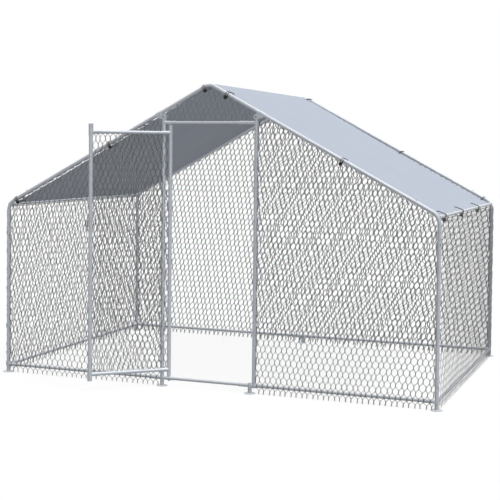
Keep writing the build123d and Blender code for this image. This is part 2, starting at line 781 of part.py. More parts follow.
def cell_outline(cell_width, row_height):
    """One gap of the netting: six-sided, standing on end, a strand's width from its neighbours."""
    slant = row_height * net_slant_share
    half_width = (cell_width - net_strand) / 2
    half_side = (row_height - slant) / 2
    half_height = half_side + slant - net_strand / 2 * row_height / cell_width
    return (
        (half_width, -half_side),
        (half_width, half_side),
        (0, half_height),
        (-half_width, half_side),
        (-half_width, -half_side),
        (0, -half_height),
    )


def net_sheet(plane, outline, notches=()):
    """A flat net on a plane: one sheet with six-sided gaps inside a narrow rim."""
    with BuildSketch() as whole:
        with BuildLine():
            Polyline(*outline, close=True)
        make_face()
        for notch in notches:
            with BuildLine():
                Polyline(*notch, close=True)
            make_face(mode=Mode.SUBTRACT)
    face = whole.face()
    cell_width = sqrt(face.area / net_cells / net_cell_ratio)
    row_height = cell_width * net_cell_ratio
    box = face.bounding_box()
    centres = []
    for row in range(int(box.size.Y / row_height) + 2):
        for column in range(int(box.size.X / cell_width) + 2):
            shift = cell_width / 2 if row % 2 else 0
            centres.append((box.min.X + column * cell_width + shift, box.min.Y + row * row_height))
    with BuildSketch() as gaps:
        with BuildLine():
            Polyline(*cell_outline(cell_width, row_height), close=True)
        cell = make_face(mode=Mode.PRIVATE)
        with Locations(*centres):
            add(cell)
        add(offset(face, amount=-net_rim, kind=Kind.INTERSECTION, mode=Mode.PRIVATE), mode=Mode.INTERSECT)
    least = net_least_gap * cell.area
    open_gaps = [gap for gap in gaps.faces() if gap.area > least]
    with BuildSketch(plane) as sheet:
        add(face)
        add(open_gaps, mode=Mode.SUBTRACT)
    extrude(sheet.sketch, amount=net_thickness)


def tie_notch_at(x):
    """The notch that a rafter's tie needs in the net below it, in the net's own X and Z."""
    sx = 1 if x > 0 else -1
    half = ball_dia / 2 + tie_notch
    low = -(post_r + ball_dia + ball_gap + tie_notch)
    high = 2 * net_overrun
    down = (cos(pitch), -sx * sin(pitch))
    out = (sx * sin(pitch), cos(pitch))
    corners = ((-half, low), (half, low), (half, high), (-half, high))
    return [
        (x + a * down[0] + b * out[0], rafter_z(x) + a * down[1] + b * out[1]) for a, b in corners
    ]


# Netting of the frame, tied to the outside of the tubes
front_plane = Plane(origin=(0, -net_y, 0), x_dir=(1, 0, 0), z_dir=(0, -1, 0))
rear_plane = Plane(origin=(0, net_y + net_thickness, 0), x_dir=(1, 0, 0), z_dir=(0, -1, 0))
net_rise = net_overrun / cos(pitch)
clamp_foot = clamp_bolt_z - clamp_ear_radius - clamp_notch
clamp_out = door_post_x + clamp_offset * cos(pitch) + clamp_length / 2 + clamp_notch
clamp_in = door_post_x - clamp_ear_radius - clamp_notch


def net_top(x):
    return rafter_z(x) + net_rise


for side, sx in sides.items():
    outline = (
        (sx * post_x, net_floor_gap),
        (sx * door_post_x, net_floor_gap),
        (sx * door_post_x, clamp_foot),
        (sx * clamp_out, clamp_foot),
        (sx * clamp_out, net_top(clamp_out)),
        (sx * post_x, net_top(post_x)),
    )
    notches = [tie_notch_at(x) for x in front_ties if x * sx > clamp_out]
    with BuildPart() as front_net:
        net_sheet(front_plane, outline, notches)
    save(front_net, f"front_{side}_net")

with BuildPart() as over_door_net:
    net_sheet(
        front_plane,
        (
            (-clamp_in, header_height - net_overrun),
            (clamp_in, header_height - net_overrun),
            (clamp_in, net_top(clamp_in)),
            (0, net_top(0)),
            (-clamp_in, net_top(clamp_in)),
        ),
        [tie_notch_at(x) for x in front_ties if abs(x) < clamp_in],
    )
save(over_door_net, "over_door_net")

with BuildPart() as rear_net:
    net_sheet(
        rear_plane,
        (
            (-post_x, net_floor_gap),
            (post_x, net_floor_gap),
            (post_x, net_top(post_x)),
            (0, net_top(0)),
            (-post_x, net_top(post_x)),
        ),
        [tie_notch_at(x) for x in rear_ties],
    )
save(rear_net, "rear_net")

for side, sx in sides.items():
    start_x = net_x if side == "right" else -net_x - net_thickness
    with BuildPart() as side_net:
        net_sheet(
            Plane(origin=(start_x, 0, 0), x_dir=(0, 1, 0), z_dir=(1, 0, 0)),
            (
                (-post_y, net_floor_gap),
                (post_y, net_floor_gap),
                (post_y, eave_rail_z + net_overrun),
                (-post_y, eave_rail_z + net_overrun),
            ),
        )
    save(side_net, f"{side}_net")

# The door, drawn in its own frame: x from the hinge axis to the latch, y out through its front face
open_turn = radians(door_open_angle)
door_right = Vector(cos(open_turn), -sin(open_turn), 0)
door_front = Vector(-sin(open_turn), -cos(open_turn), 0)
top_rail_z = stile_top - door_top_drop
bottom_rail_z = stile_bottom + door_bottom_rise
door_sleeve_bore = door_rail_dia + 2 * sleeve_clearance
door_sleeve_dia = door_sleeve_bore + 2 * sleeve_wall


def door_point(x, y, z):
    """A point of the door: x from the hinge axis, y out of its front face."""
    return Vector(hinge_x, -post_y, z) + door_right * x + door_front * y


def add_door_sleeve(start, end):
    """A sleeve for one of the door's rails, solid where it is welded on."""
    rod(start, end, door_sleeve_dia)
    rod(along(start, end, solid_root), end, door_sleeve_bore, Mode.SUBTRACT)


# Hinge stile: its plugged ends turn on the pivot pins
with BuildPart() as hinge_stile:
    rod(door_point(0, 0, stile_bottom), door_point(0, 0, stile_top), post_dia)
    for z in (bottom_rail_z, top_rail_z):
        add_door_sleeve(door_point(0, 0, z), door_point(tee_reach, 0, z))
    rod(
        door_point(0, 0, stile_bottom + stile_plug),
        door_point(0, 0, stile_top - stile_plug),
        post_bore,
        Mode.SUBTRACT,
    )
    rod(
        door_point(0, 0, stile_bottom),
        door_point(0, 0, stile_top),
        pivot_pin_dia + 2 * pivot_clearance,
        Mode.SUBTRACT,
    )
save(hinge_stile, "door_hinge_stile")

with BuildPart() as latch_stile:
    tube(door_point(door_width, 0, stile_bottom), door_point(door_width, 0, stile_top), post_dia, post_bore)
save(latch_stile, "door_latch_stile")

# Tees on the latch stile: a collar round the stile with a sleeve for the rail
tee_bore = post_dia + 2 * tee_clearance
tee_dia = tee_bore + 2 * tee_wall
with BuildPart() as door_tees:
    for z, low, high in (
        (top_rail_z, stile_top - tee_height, stile_top),
        (bottom_rail_z, stile_bottom, stile_bottom + tee_height),
    ):
        rod(door_point(door_width, 0, low), door_point(door_width, 0, high), tee_dia)
        add_door_sleeve(door_point(door_width, 0, z), door_point(door_width - tee_reach, 0, z))
        rod(door_point(door_width, 0, low), door_point(door_width, 0, high), tee_bore, Mode.SUBTRACT)
save(door_tees, "door_tees")

rail_start = tee_reach - door_rail_insertion
for name, z in (("door_top_rail", top_rail_z), ("door_bottom_rail", bottom_rail_z)):
    with BuildPart() as door_rail:
        tube(
            door_point(rail_start, 0, z),
            door_point(door_width - rail_start, 0, z),
            door_rail_dia,
            door_rail_dia - 2 * tube_wall,
        )
    save(door_rail, name)

# Netting of the door, on its front face outside the tees and the latch's collar
collar_bore = post_dia + 2 * tee_clearance
collar_dia = collar_bore + 2 * latch_collar_wall
door_net_y = max(tee_dia, collar_dia) / 2 + net_gap
with BuildPart() as door_net:
    net_sheet(
        Plane(origin=door_point(0, door_net_y, 0), x_dir=door_right, z_dir=door_front),
        (
            (0, bottom_rail_z - net_overrun),
            (door_width, bottom_rail_z - net_overrun),
            (door_width, top_rail_z + net_overrun),
            (0, top_rail_z + net_overrun),
        ),
    )
save(door_net, "door_net")

# Latch: a collar clamped round the latch stile carries a barrel, in which the bent fork turns
latch_reach = collar_dia / 2 + latch_lug
latch_x = door_width + latch_reach
collar_half = latch_collar_height / 2
with BuildPart() as latch_collar:
    rod(
        door_point(door_width, 0, latch_height - collar_half),
        door_point(door_width, 0, latch_height + collar_half),
        collar_dia,
    )
    rod(
        door_point(latch_x, -latch_barrel_length / 2, latch_height),
        door_point(latch_x, latch_barrel_length / 2, latch_height),
        latch_barrel_dia,
    )
    lug_plane = Plane(origin=door_point(door_width, 0, latch_height), x_dir=door_right, z_dir=(0, 0, 1))
    with BuildSketch(lug_plane):
        with Locations((latch_reach / 2, 0)):
            Rectangle(latch_reach, latch_barrel_dia)
    extrude(amount=latch_barrel_dia / 2, both=True)
    rod(
        door_point(door_width, 0, latch_height - collar_half),
        door_point(door_width, 0, latch_height + collar_half),
        collar_bore,
        Mode.SUBTRACT,
    )
    rod(
        door_point(latch_x, -latch_barrel_length, latch_height),
        door_point(latch_x, latch_barrel_length, latch_height),
        fork_dia + 2 * fork_clearance,
        Mode.SUBTRACT,
    )
save(latch_collar, "latch_collar")

fork_half_gap = net_stand_off + net_thickness + fork_gap + fork_dia / 2
with BuildPart() as latch_fork:
    bent_bar(
        (
            door_point(latch_x, -fork_half_gap, latch_height - fork_length),
            door_point(latch_x, -fork_half_gap, latch_height),
            door_point(latch_x, fork_half_gap, latch_height),
            door_point(latch_x, fork_half_gap, latch_height - fork_length),
        ),
        fork_bend,
        fork_dia,
    )
save(latch_fork, "latch_fork")
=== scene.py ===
"""Looks of a walk-in poultry run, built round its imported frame: metres, +Z up, -Y out of the front gable."""
import json
import math
from collections import namedtuple

import bpy
import numpy as np
from mathutils import Matrix, Vector


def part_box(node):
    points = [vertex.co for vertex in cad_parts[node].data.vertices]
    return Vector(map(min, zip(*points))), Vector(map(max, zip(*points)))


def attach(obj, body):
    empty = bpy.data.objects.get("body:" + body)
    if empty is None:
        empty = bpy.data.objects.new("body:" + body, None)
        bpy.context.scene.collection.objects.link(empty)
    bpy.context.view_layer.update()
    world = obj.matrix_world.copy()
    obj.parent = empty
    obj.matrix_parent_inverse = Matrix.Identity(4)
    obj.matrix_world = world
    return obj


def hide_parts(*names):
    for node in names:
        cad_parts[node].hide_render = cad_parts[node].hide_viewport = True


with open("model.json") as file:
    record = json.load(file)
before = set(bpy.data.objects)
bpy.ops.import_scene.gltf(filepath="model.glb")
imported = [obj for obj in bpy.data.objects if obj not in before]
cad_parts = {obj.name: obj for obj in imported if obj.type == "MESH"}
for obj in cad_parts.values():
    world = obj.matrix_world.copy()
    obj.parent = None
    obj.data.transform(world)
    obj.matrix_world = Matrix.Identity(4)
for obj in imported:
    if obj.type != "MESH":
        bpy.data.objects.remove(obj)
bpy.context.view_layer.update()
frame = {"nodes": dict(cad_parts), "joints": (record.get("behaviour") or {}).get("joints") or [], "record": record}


# Places and sizes read from the frame

def middle(node):
    low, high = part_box(node)
    return (low + high) / 2


def half_size(node):
    low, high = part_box(node)
    return (high - low) / 2


nodes = frame["nodes"]
slot_of = {row["node"]: row["material_slot"] for row in frame["record"]["subparts"]}
post_r = half_size("front_right_post").x
post_x = middle("front_right_post").x
post_y = -middle("front_right_post").y
rail_r = half_size("ridge_rail").x
door_post_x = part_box("right_door_post")[1].x - post_r
bottom_rail_z = middle("right_bottom_rail").z
eave_rail = middle("right_eave_rail")
ridge_rail = middle("ridge_rail")
header_z = middle("door_header").z
rafter_low = middle("front_right_lower_rafter")
rafter_high = middle("front_right_upper_rafter")
rafter_fall = (rafter_high.z - rafter_low.z) / (rafter_low.x - rafter_high.x)
pitch = math.atan(rafter_fall)
peak_z = rafter_high.z + rafter_high.x * rafter_fall
clamp_low, clamp_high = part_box("post_clamps")
hinge = next(joint for joint in frame["joints"] if joint["name"] == "door_hinge")
hinge_place = Vector((hinge["pos_m"][0], hinge["pos_m"][1], 0))
door_turn = -math.radians(hinge["range_deg"][1])
door_frame = Matrix.Translation(hinge_place) @ Matrix.Rotation(door_turn, 4, "Z")
door_width = (door_frame.inverted() @ middle("door_latch_stile")).x
door_bottom_z = middle("door_bottom_rail").z
door_top_z = middle("door_top_rail").z


def rafter_z(x):
    """Height of a rafter's axis, as if it ran straight from the peak to the corner post."""
    return peak_z - abs(x) * rafter_fall


# Netting: each net is stretched in its own way. A gap's width, the height of a row of gaps, the lean of a
# column of gaps to the right of its wall, seen from outside, and the wire's radius.

Mesh = namedtuple("Mesh", "width row lean wire_r")
front_left_mesh = Mesh(0.0378, 0.0403, 0.06, 0.00190)
front_right_mesh = Mesh(0.0357, 0.0386, 0.10, 0.00200)
over_door_mesh = Mesh(0.0355, 0.0385, 0.12, 0.00100)
rear_mesh = Mesh(0.0375, 0.0445, -0.26, 0.00275)
left_mesh = Mesh(0.0425, 0.0430, -0.17, 0.00195)
right_mesh = Mesh(0.0420, 0.0435, 0.15, 0.00085)
door_mesh = Mesh(0.0315, 0.0430, 0.0, 0.00170)
twist_length = 0.0202
twist_quarters = 4              # of a turn, in a twist
twist_spread = 0.50             # a wire's middle from the twist's, as a share of the wire's radius
slant_points = ((0.16, 0.13), (0.84, 0.87))     # shares of the way up and across from twist to twist
rows_in_repeat, columns_in_repeat = 4, 2
column_shift = 0.0018           # twists stand by turns to the left and right of even places
first_twist = 0.014             # middle of the lowest row, whose cut ends stand over the ground
net_floor = 0.0045
net_edge = 0.0163               # from a tube's axis to the net's fold beside it
net_fold_r = 0.0035
net_return = 0.018              # folded in along the tube
return_floor = bottom_rail_z + 0.025            # the folds are cut away beside the feet's sleeves
net_taper = 0.12                # from an edge to where a net bellies out freely
taper_steps = 10
net_clearance = 0.0004
eave_fold_drop = 0.0025         # the fold under an eave rail lies lower than one beside a post
clamp_gap = 0.004               # from a post clamp to the net cut away round it

# Roof cover

cover_thickness = 0.001
cover_field = 0.6               # thickness inside the hem, as a share
hem_width = 0.036
seam_inset = 0.004              # from the hem's inner edge
stitch_length = 0.006
tape_width = 0.0025             # of the weave
sheet_cells = (132, 76)
cover_sag = 0.007
sag_at_gables = 0.65            # as a share of the sag half-way along
cover_scallop = 0.003           # drawn in between two ties this far apart
scallop_span = 0.8
scallop_limit = 1.2             # drawn in at most, as a share of the scallop
scallop_fade = 3                # power by which a scallop fades inwards
cover_pucker = 0.0016           # height of the small folds round an eyelet
pucker_folds = 7
pucker_start = 0.045
pucker_reach = 0.11
edge_reach = 0.06               # eyelets nearer to an edge than this are tied across it
eyelet_hole_r = 0.0057

# Ties

ball_r = 0.0125
parting_line = 1.012            # the ball's radius at its parting line, as a share
cord_r = 0.002
cord_clearance = 0.0005
ball_hole_r = 0.0042
ball_hole_depth = 0.006
rafter_reach = 0.05             # balls nearer to a gable than this are tied to its rafters
over_eyelet = 0.0065            # from the sheet's middle to the cord's turns at an eyelet
under_eyelet = 0.0080
way_back = 0.4                  # a control point's share of the way from the eyelet back to the ball
# Half the distance between a loop's two strands at each control point, from the ball to the eyelet and back
strand_spread = (0.0085, 0.0080, 0.0072, 0.0060, 0.0047, 0.0022, 0.0022, 0.0022, 0.0021)

# Floor and light

floor_size = 60.0
floor_drop = 0.0005             # below the foot plates
floor_bounce = 0.30             # tone of the floor as the object sees it
floor_shade = 0.28              # light and shadow on the floor that the camera sees
floor_white = 0.77              # white of the floor's own that the camera sees
ambient_light = 0.28
sun_direction = (0.42, -0.14, 0.897)
front_direction = (0.26, -0.95, 0.10)


# Mesh helpers

def deselect_all():
    bpy.ops.object.select_all(action="DESELECT")


def make_active(piece):
    deselect_all()
    piece.select_set(True)
    bpy.context.view_layer.objects.active = piece


def edit(piece, mode="VERT"):
    make_active(piece)
    bpy.ops.object.mode_set(mode="EDIT")
    bpy.ops.mesh.select_mode(type=mode)


def leave_edit():
    bpy.ops.object.mode_set(mode="OBJECT")


def points_of(piece):
    points = np.empty(len(piece.data.vertices) * 3)
    piece.data.vertices.foreach_get("co", points)
    return points.reshape(-1, 3)


def set_points(piece, points):
    piece.data.vertices.foreach_set("co", np.ascontiguousarray(points).ravel())
    piece.data.update()


def face_middles(piece):
    middles = np.empty(len(piece.data.polygons) * 3)
    piece.data.polygons.foreach_get("center", middles)
    return middles.reshape(-1, 3)


def delete_faces(piece, chosen):
    """Deletes the faces that a list of true and false chooses."""
    mesh = piece.data
    mesh.vertices.foreach_set("select", np.zeros(len(mesh.vertices), bool))
    mesh.edges.foreach_set("select", np.zeros(len(mesh.edges), bool))
    mesh.polygons.foreach_set("select", chosen)
    edit(piece, "FACE")
    bpy.ops.mesh.delete(type="FACE")
    leave_edit()


def apply_modifiers(piece):
    make_active(piece)
    for modifier in list(piece.modifiers):
        bpy.ops.object.modifier_apply(modifier=modifier.name)


def apply_place(piece, place):
    """Puts a piece where it belongs and leaves its object at the origin."""
    piece.matrix_world = place
    make_active(piece)
    bpy.ops.object.transform_apply(location=True, rotation=True, scale=True)


def finish_piece(piece, body, slot, *replaced):
    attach(piece, body)
    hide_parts(*replaced)
    return piece


def loose_middles(node, least_size=0.01):
    """Middles of a node's separate solids, read from a merged copy of its mesh."""
    copy = nodes[node].copy()
    copy.data = nodes[node].data.copy()
    copy.parent = None
    bpy.context.scene.collection.objects.link(copy)
    edit(copy)
    bpy.ops.mesh.select_all(action="SELECT")
    bpy.ops.mesh.remove_doubles(threshold=0.0001)
    bpy.ops.mesh.separate(type="LOOSE")
    leave_edit()
    found = []
    for part in list(bpy.context.selected_objects):
        points = points_of(part)
        if np.ptp(points, axis=0).max() > least_size:
            found.append(Vector((points.min(axis=0) + points.max(axis=0)) / 2))
        mesh = part.data
        bpy.data.objects.remove(part)
        bpy.data.meshes.remove(mesh)
    return found


ball_places = loose_middles("tie_balls")
eyelet_places = loose_middles("cover_eyelets")


# Node helpers

def feed(tree, socket, value):
    """Links an input socket to another socket, or sets its value."""
    if isinstance(value, bpy.types.NodeSocket):
        tree.links.new(value, socket)
    else:
        socket.default_value = value


def add_node(tree, kind, inputs=None, **settings):
    """Adds a shader node, with its settings, and with a value or a socket for each named input."""
    made = tree.nodes.new(kind)
    for name, value in settings.items():
        setattr(made, name, value)
    for name, value in (inputs or {}).items():
        feed(tree, made.inputs[name], value)
    return made


def calculate(tree, operation, first, second=0.0, clamp=False):
    terms = {0: first, 1: second}
    return add_node(tree, "ShaderNodeMath", terms, operation=operation, use_clamp=clamp).outputs[0]


def multiply(tree, first, second):
    return calculate(tree, "MULTIPLY", first, second)


def between(tree, value, low, high):
    """A mask that rises smoothly from 0 at low to 1 at high."""
    ramp = add_node(
        tree,
        "ShaderNodeMapRange",
        {"Value": value, "From Min": low, "From Max": high},
        interpolation_type="SMOOTHSTEP",
    )
    return ramp.outputs["Result"]


def mix_colours(tree, share, first, second):
    """A mix of two colours, by the node's sockets for colour, which share their names with others."""
    mixed = add_node(tree, "ShaderNodeMix", {0: share, 6: first, 7: second}, data_type="RGBA")
    return mixed.outputs[2]


def noise(tree, place, scale, detail=2.0, **more):
    inputs = {"Vector": place, "Scale": scale, "Detail": detail, **more}
    return add_node(tree, "ShaderNodeTexNoise", inputs).outputs[0]


def start_group(name, inputs, outputs):
    """A shader node group with its sockets; returns its tree, its input sockets and its output node."""
    tree = bpy.data.node_groups.new(name, "ShaderNodeTree")
    for socket, kind in inputs.items():
        tree.interface.new_socket(socket, in_out="INPUT", socket_type=kind)
    for socket, kind in outputs.items():
        tree.interface.new_socket(socket, in_out="OUTPUT", socket_type=kind)
    entry = tree.nodes.new("NodeGroupInput")
    leaving = tree.nodes.new("NodeGroupOutput")
    return tree, entry.outputs, leaving.inputs


def use_group(tree, group, **inputs):
    placed = tree.nodes.new("ShaderNodeGroup")
    placed.node_tree = group
    for name, value in inputs.items():
        feed(tree, placed.inputs[name], value)
    return placed.outputs


VALUE, VECTOR = "NodeSocketFloat", "NodeSocketVector"


def zinc_spangle_group():
    """Flakes of a zinc coat, with cloudy patches and long faint streaks."""
    tree, given, out = start_group(
        "zinc_spangle", {"Place": VECTOR, "Flakes": VALUE}, {"Tone": VALUE, "Grain": VALUE}
    )
    flakes = add_node(tree, "ShaderNodeTexVoronoi", {"Vector": given["Place"], "Scale": given["Flakes"]})
    flake_tone = add_node(tree, "ShaderNodeSeparateColor", {"Color": flakes.outputs["Color"]}).outputs[0]
    patches = noise(tree, given["Place"], 9.0, 3.0)
    streaks = noise(tree, given["Place"], 160.0, Distortion=0.6)
    tone = multiply(tree, flake_tone, 0.42)
    tone = calculate(tree, "ADD", tone, multiply(tree, patches, 0.38))
    tone = calculate(tree, "ADD", tone, multiply(tree, streaks, 0.20))
    tree.links.new(tone, out["Tone"])
    tree.links.new(streaks, out["Grain"])
    return tree


def ground_dust_group():
    """Dust and splash that thins out upwards from the ground."""
    tree, given, out = start_group("ground_dust", {"Place": VECTOR, "Reach": VALUE}, {"Dust": VALUE})
    height = add_node(tree, "ShaderNodeSeparateXYZ", {"Vector": given["Place"]}).outputs["Z"]
    share = calculate(tree, "DIVIDE", height, given["Reach"])
    broken = noise(tree, given["Place"], 70.0, 5.0)
    level = calculate(tree, "ADD", share, multiply(tree, broken, 0.9))
    dust = calculate(tree, "SUBTRACT", 1.0, between(tree, level, 0.35, 1.15))
    tree.links.new(dust, out["Dust"])
    return tree


def scuff_group():
    """Fine rubbed marks where tubes slide together and are handled."""
    tree, given, out = start_group("scuffs", {"Place": VECTOR}, {"Scuff": VALUE})
    drawn = add_node(tree, "ShaderNodeMapping", {"Vector": given["Place"], "Scale": (1.0, 1.0, 0.35)})
    marks = noise(tree, drawn.outputs[0], 240.0, 4.0, Roughness=0.7, Distortion=1.5)
    area = noise(tree, given["Place"], 14.0)
    scuff = multiply(tree, between(tree, marks, 0.60, 0.72), between(tree, area, 0.48, 0.62))
    tree.links.new(scuff, out["Scuff"])
    return tree


def tape_weave_group():
    """Flat tapes woven over and under, for coated sheet; the place is measured in tapes."""
    tree, given, out = start_group("tape_weave", {"Place": VECTOR}, {"Height": VALUE, "Over": VALUE})
    place = add_node(tree, "ShaderNodeSeparateXYZ", {"Vector": given["Place"]})
    crowns = []
    for axis in ("X", "Y"):
        turn = multiply(tree, place.outputs[axis], math.pi)
        crowns.append(calculate(tree, "ABSOLUTE", calculate(tree, "SINE", turn)))
    checks = add_node(tree, "ShaderNodeTexChecker", {"Vector": given["Place"], "Scale": 1.0}).outputs["Fac"]
    warp = multiply(tree, crowns[0], checks)
    weft = multiply(tree, crowns[1], calculate(tree, "SUBTRACT", 1.0, checks))
    tree.links.new(calculate(tree, "ADD", warp, weft), out["Height"])
    tree.links.new(checks, out["Over"])
    return tree


spangle = zinc_spangle_group()
ground_dust = ground_dust_group()
scuffs = scuff_group()
tape_weave = tape_weave_group()


# Materials

def start_material(name):
    """A new material with only its output and a Principled shader; returns material, tree and shader."""
    material = bpy.data.materials.new(name)
    material.use_nodes = True
    tree = material.node_tree
    tree.nodes.clear()
    shader = tree.nodes.new("ShaderNodeBsdfPrincipled")
    output = tree.nodes.new("ShaderNodeOutputMaterial")
    tree.links.new(shader.outputs[0], output.inputs["Surface"])
    return material, tree, shader


def connect(tree, shader, **sockets):
    """Feeds a shader's inputs, whose names have a space for each _ here."""
    for name, value in sockets.items():
        feed(tree, shader.inputs[name.replace("_", " ")], value)


def bump(tree, height, distance, strength=1.0, **under):
    """A bumped normal, on top of another one where Normal is given."""
    inputs = {"Height": height, "Distance": distance, "Strength": strength, **under}
    return add_node(tree, "ShaderNodeBump", inputs).outputs["Normal"]


DUST = (0.42, 0.39, 0.34, 1)
THREAD = (0.75, 0.77, 0.80, 1)
# Painted highlight that the galvanised finishes put on faces turned up
PAINTED_HIGHLIGHT_ZINC = (0.90, 0.93, 0.97, 1)
# Painted shade that the galvanised finishes put on upright sides and on faces turned down
PAINTED_SHADE_ZINC = (0.17, 0.195, 0.235, 1)


def galvanised(name, dark, light, rough, metallic, flakes, dust_reach):
    """Zinc-coated steel: flakes between two tones, rubbed marks and dust, with a painted highlight on faces turned
    up and painted shade on upright sides and on faces turned down.
    """
    material, tree, shader = start_material(name)
    coordinates = tree.nodes.new("ShaderNodeTexCoord")
    place = coordinates.outputs["Object"]
    zinc = use_group(tree, spangle, Place=place, Flakes=flakes)
    dust = use_group(tree, ground_dust, Place=place, Reach=dust_reach)["Dust"]
    scuff = use_group(tree, scuffs, Place=place)["Scuff"]
    colour = mix_colours(tree, between(tree, zinc["Tone"], 0.2, 0.8), dark, light)
    colour = mix_colours(tree, multiply(tree, scuff, 0.35), colour, light)
    colour = mix_colours(tree, multiply(tree, dust, 0.35), colour, DUST)
    rise = add_node(tree, "ShaderNodeSeparateXYZ", {"Vector": coordinates.outputs["Normal"]}).outputs["Z"]
    # Painted highlight: faces turned up are mixed towards a near white, as if lit from above
    painted_light_on_top = multiply(tree, between(tree, rise, 0.3, 0.9), 0.6)
    # Painted shade: upright sides and faces turned down are mixed towards a dark blue-grey, as if in shade
    sides = multiply(tree, between(tree, calculate(tree, "ABSOLUTE", rise), 0.6, 0.2), 0.3)
    below = multiply(tree, between(tree, rise, -0.4, -1.0), 0.75)
    painted_shade_share = multiply(tree, calculate(tree, "MAXIMUM", sides, below), 0.9)
    colour = mix_colours(tree, painted_light_on_top, colour, PAINTED_HIGHLIGHT_ZINC)
    colour = mix_colours(tree, painted_shade_share, colour, PAINTED_SHADE_ZINC)
    roughness = calculate(tree, "ADD", multiply(tree, zinc["Tone"], 0.18), rough - 0.09)
    roughness = calculate(tree, "ADD", roughness, multiply(tree, dust, 0.3), clamp=True)
    connect(
        tree,
        shader,
        Base_Color=colour,
        Roughness=roughness,
        Metallic=calculate(tree, "SUBTRACT", metallic, multiply(tree, dust, 0.4), clamp=True),
        Normal=bump(tree, zinc["Grain"], 0.00004, 0.5),
        Specular_IOR_Level=0.2,
    )
    return material


def netting_wire():
    """Dull zinc-coated wire, uneven in tone and dusty at the foot of the net."""
    material, tree, shader = start_material("netting_wire")
    place = tree.nodes.new("ShaderNodeTexCoord").outputs["Object"]
    zinc = use_group(tree, spangle, Place=place, Flakes=300.0)
    dust = use_group(tree, ground_dust, Place=place, Reach=0.09)["Dust"]
    colour = mix_colours(tree, zinc["Tone"], (0.15, 0.155, 0.16, 1), (0.25, 0.255, 0.26, 1))
    colour = mix_colours(tree, multiply(tree, dust, 0.25), colour, DUST)
    connect(
        tree,
        shader,
        Base_Color=colour,
        Roughness=calculate(tree, "ADD", multiply(tree, zinc["Tone"], 0.2), 0.42),
        Metallic=0.1,
        Normal=bump(tree, zinc["Grain"], 0.00003, 0.5),
        Specular_IOR_Level=0.15,
    )
    return material


def cover_sheet(name, dark, light, rough):
    """Coated woven sheet on its own map: tapes, a stitched hem, faint clouds and creases."""
    material, tree, shader = start_material(name)
    flat = tree.nodes.new("ShaderNodeTexCoord").outputs["UV"]
    flat_size = (cover_length, cover_width, 1.0)
    tapes = add_node(
        tree, "ShaderNodeMapping", {"Vector": flat, "Scale": tuple(size / tape_width for size in flat_size)}
    ).outputs[0]
    weave = use_group(tree, tape_weave, Place=tapes)
    metres = add_node(tree, "ShaderNodeMapping", {"Vector": flat, "Scale": flat_size}).outputs[0]
    clouds = noise(tree, metres, 3.5, 5.0)
    creases = noise(tree, metres, 22.0, 3.0, Distortion=0.8)
    split = add_node(tree, "ShaderNodeSeparateXYZ", {"Vector": flat})
    edges = []
    for axis, size in (("X", cover_length), ("Y", cover_width)):
        centred = calculate(tree, "ABSOLUTE", calculate(tree, "SUBTRACT", split.outputs[axis], 0.5))
        edges.append(multiply(tree, calculate(tree, "SUBTRACT", 0.5, centred), size))
    from_edge = calculate(tree, "MINIMUM", *edges)
    seam_distance = calculate(tree, "ABSOLUTE", calculate(tree, "SUBTRACT", from_edge, hem_width - seam_inset))
    seam = calculate(tree, "SUBTRACT", 1.0, between(tree, seam_distance, 0.0006, 0.0016))
    run = add_node(tree, "ShaderNodeSeparateXYZ", {"Vector": metres})
    along = calculate(tree, "ADD", run.outputs["X"], run.outputs["Y"])
    dash = calculate(tree, "SINE", multiply(tree, along, 2 * math.pi / stitch_length))
    stitches = multiply(tree, seam, between(tree, dash, -0.5, -0.2))
    tone = multiply(tree, clouds, 0.7)
    tone = calculate(tree, "ADD", tone, multiply(tree, weave["Over"], 0.15))
    colour = mix_colours(tree, between(tree, tone, 0.2, 0.7), dark, light)
    colour = mix_colours(tree, multiply(tree, stitches, 0.5), colour, THREAD)
    folds = bump(tree, creases, 0.0025, 0.25)
    woven = bump(tree, weave["Height"], 0.0002, 0.35, Normal=folds)
    sewn = bump(tree, stitches, 0.0006, 0.6, Normal=woven)
    connect(
        tree,
        shader,
        Base_Color=colour,
        Roughness=calculate(tree, "ADD", multiply(tree, clouds, 0.15), rough),
        Normal=sewn,
    )
    return material


def elastic_cord():
    """Black braided elastic, uneven with its threads and a little faded in places."""
    material, tree, shader = start_material("elastic_cord")
    place = tree.nodes.new("ShaderNodeTexCoord").outputs["Object"]
    braid = add_node(
        tree, "ShaderNodeTexVoronoi", {"Vector": place, "Scale": 900.0}, feature="DISTANCE_TO_EDGE"
    ).outputs["Distance"]
    fade = noise(tree, place, 60.0, 3.0)
    connect(
        tree,
        shader,
        Base_Color=mix_colours(tree, fade, (0.010, 0.010, 0.011, 1), (0.032, 0.032, 0.034, 1)),
        Roughness=calculate(tree, "ADD", multiply(tree, fade, 0.2), 0.6),
        Normal=bump(tree, braid, 0.0004, 0.7),
        Specular_IOR_Level=0.1,
    )
    return material


def moulded_ball():
    """Glossy black moulding, with a faint flow and handling haze."""
    material, tree, shader = start_material("moulded_ball")
    place = tree.nodes.new("ShaderNodeTexCoord").outputs["Object"]
    haze = noise(tree, place, 90.0, 4.0)
    connect(
        tree,
        shader,
        Base_Color=mix_colours(tree, haze, (0.006, 0.006, 0.007, 1), (0.016, 0.016, 0.017, 1)),
        Roughness=calculate(tree, "ADD", multiply(tree, haze, 0.25), 0.12),
        Normal=bump(tree, haze, 0.0001, 0.2),
        Specular_IOR_Level=0.2,
    )
    return material


# Sizes of the cover's sheet, which lies over the ridge rail's sleeves and runs down to the eave rails' axes

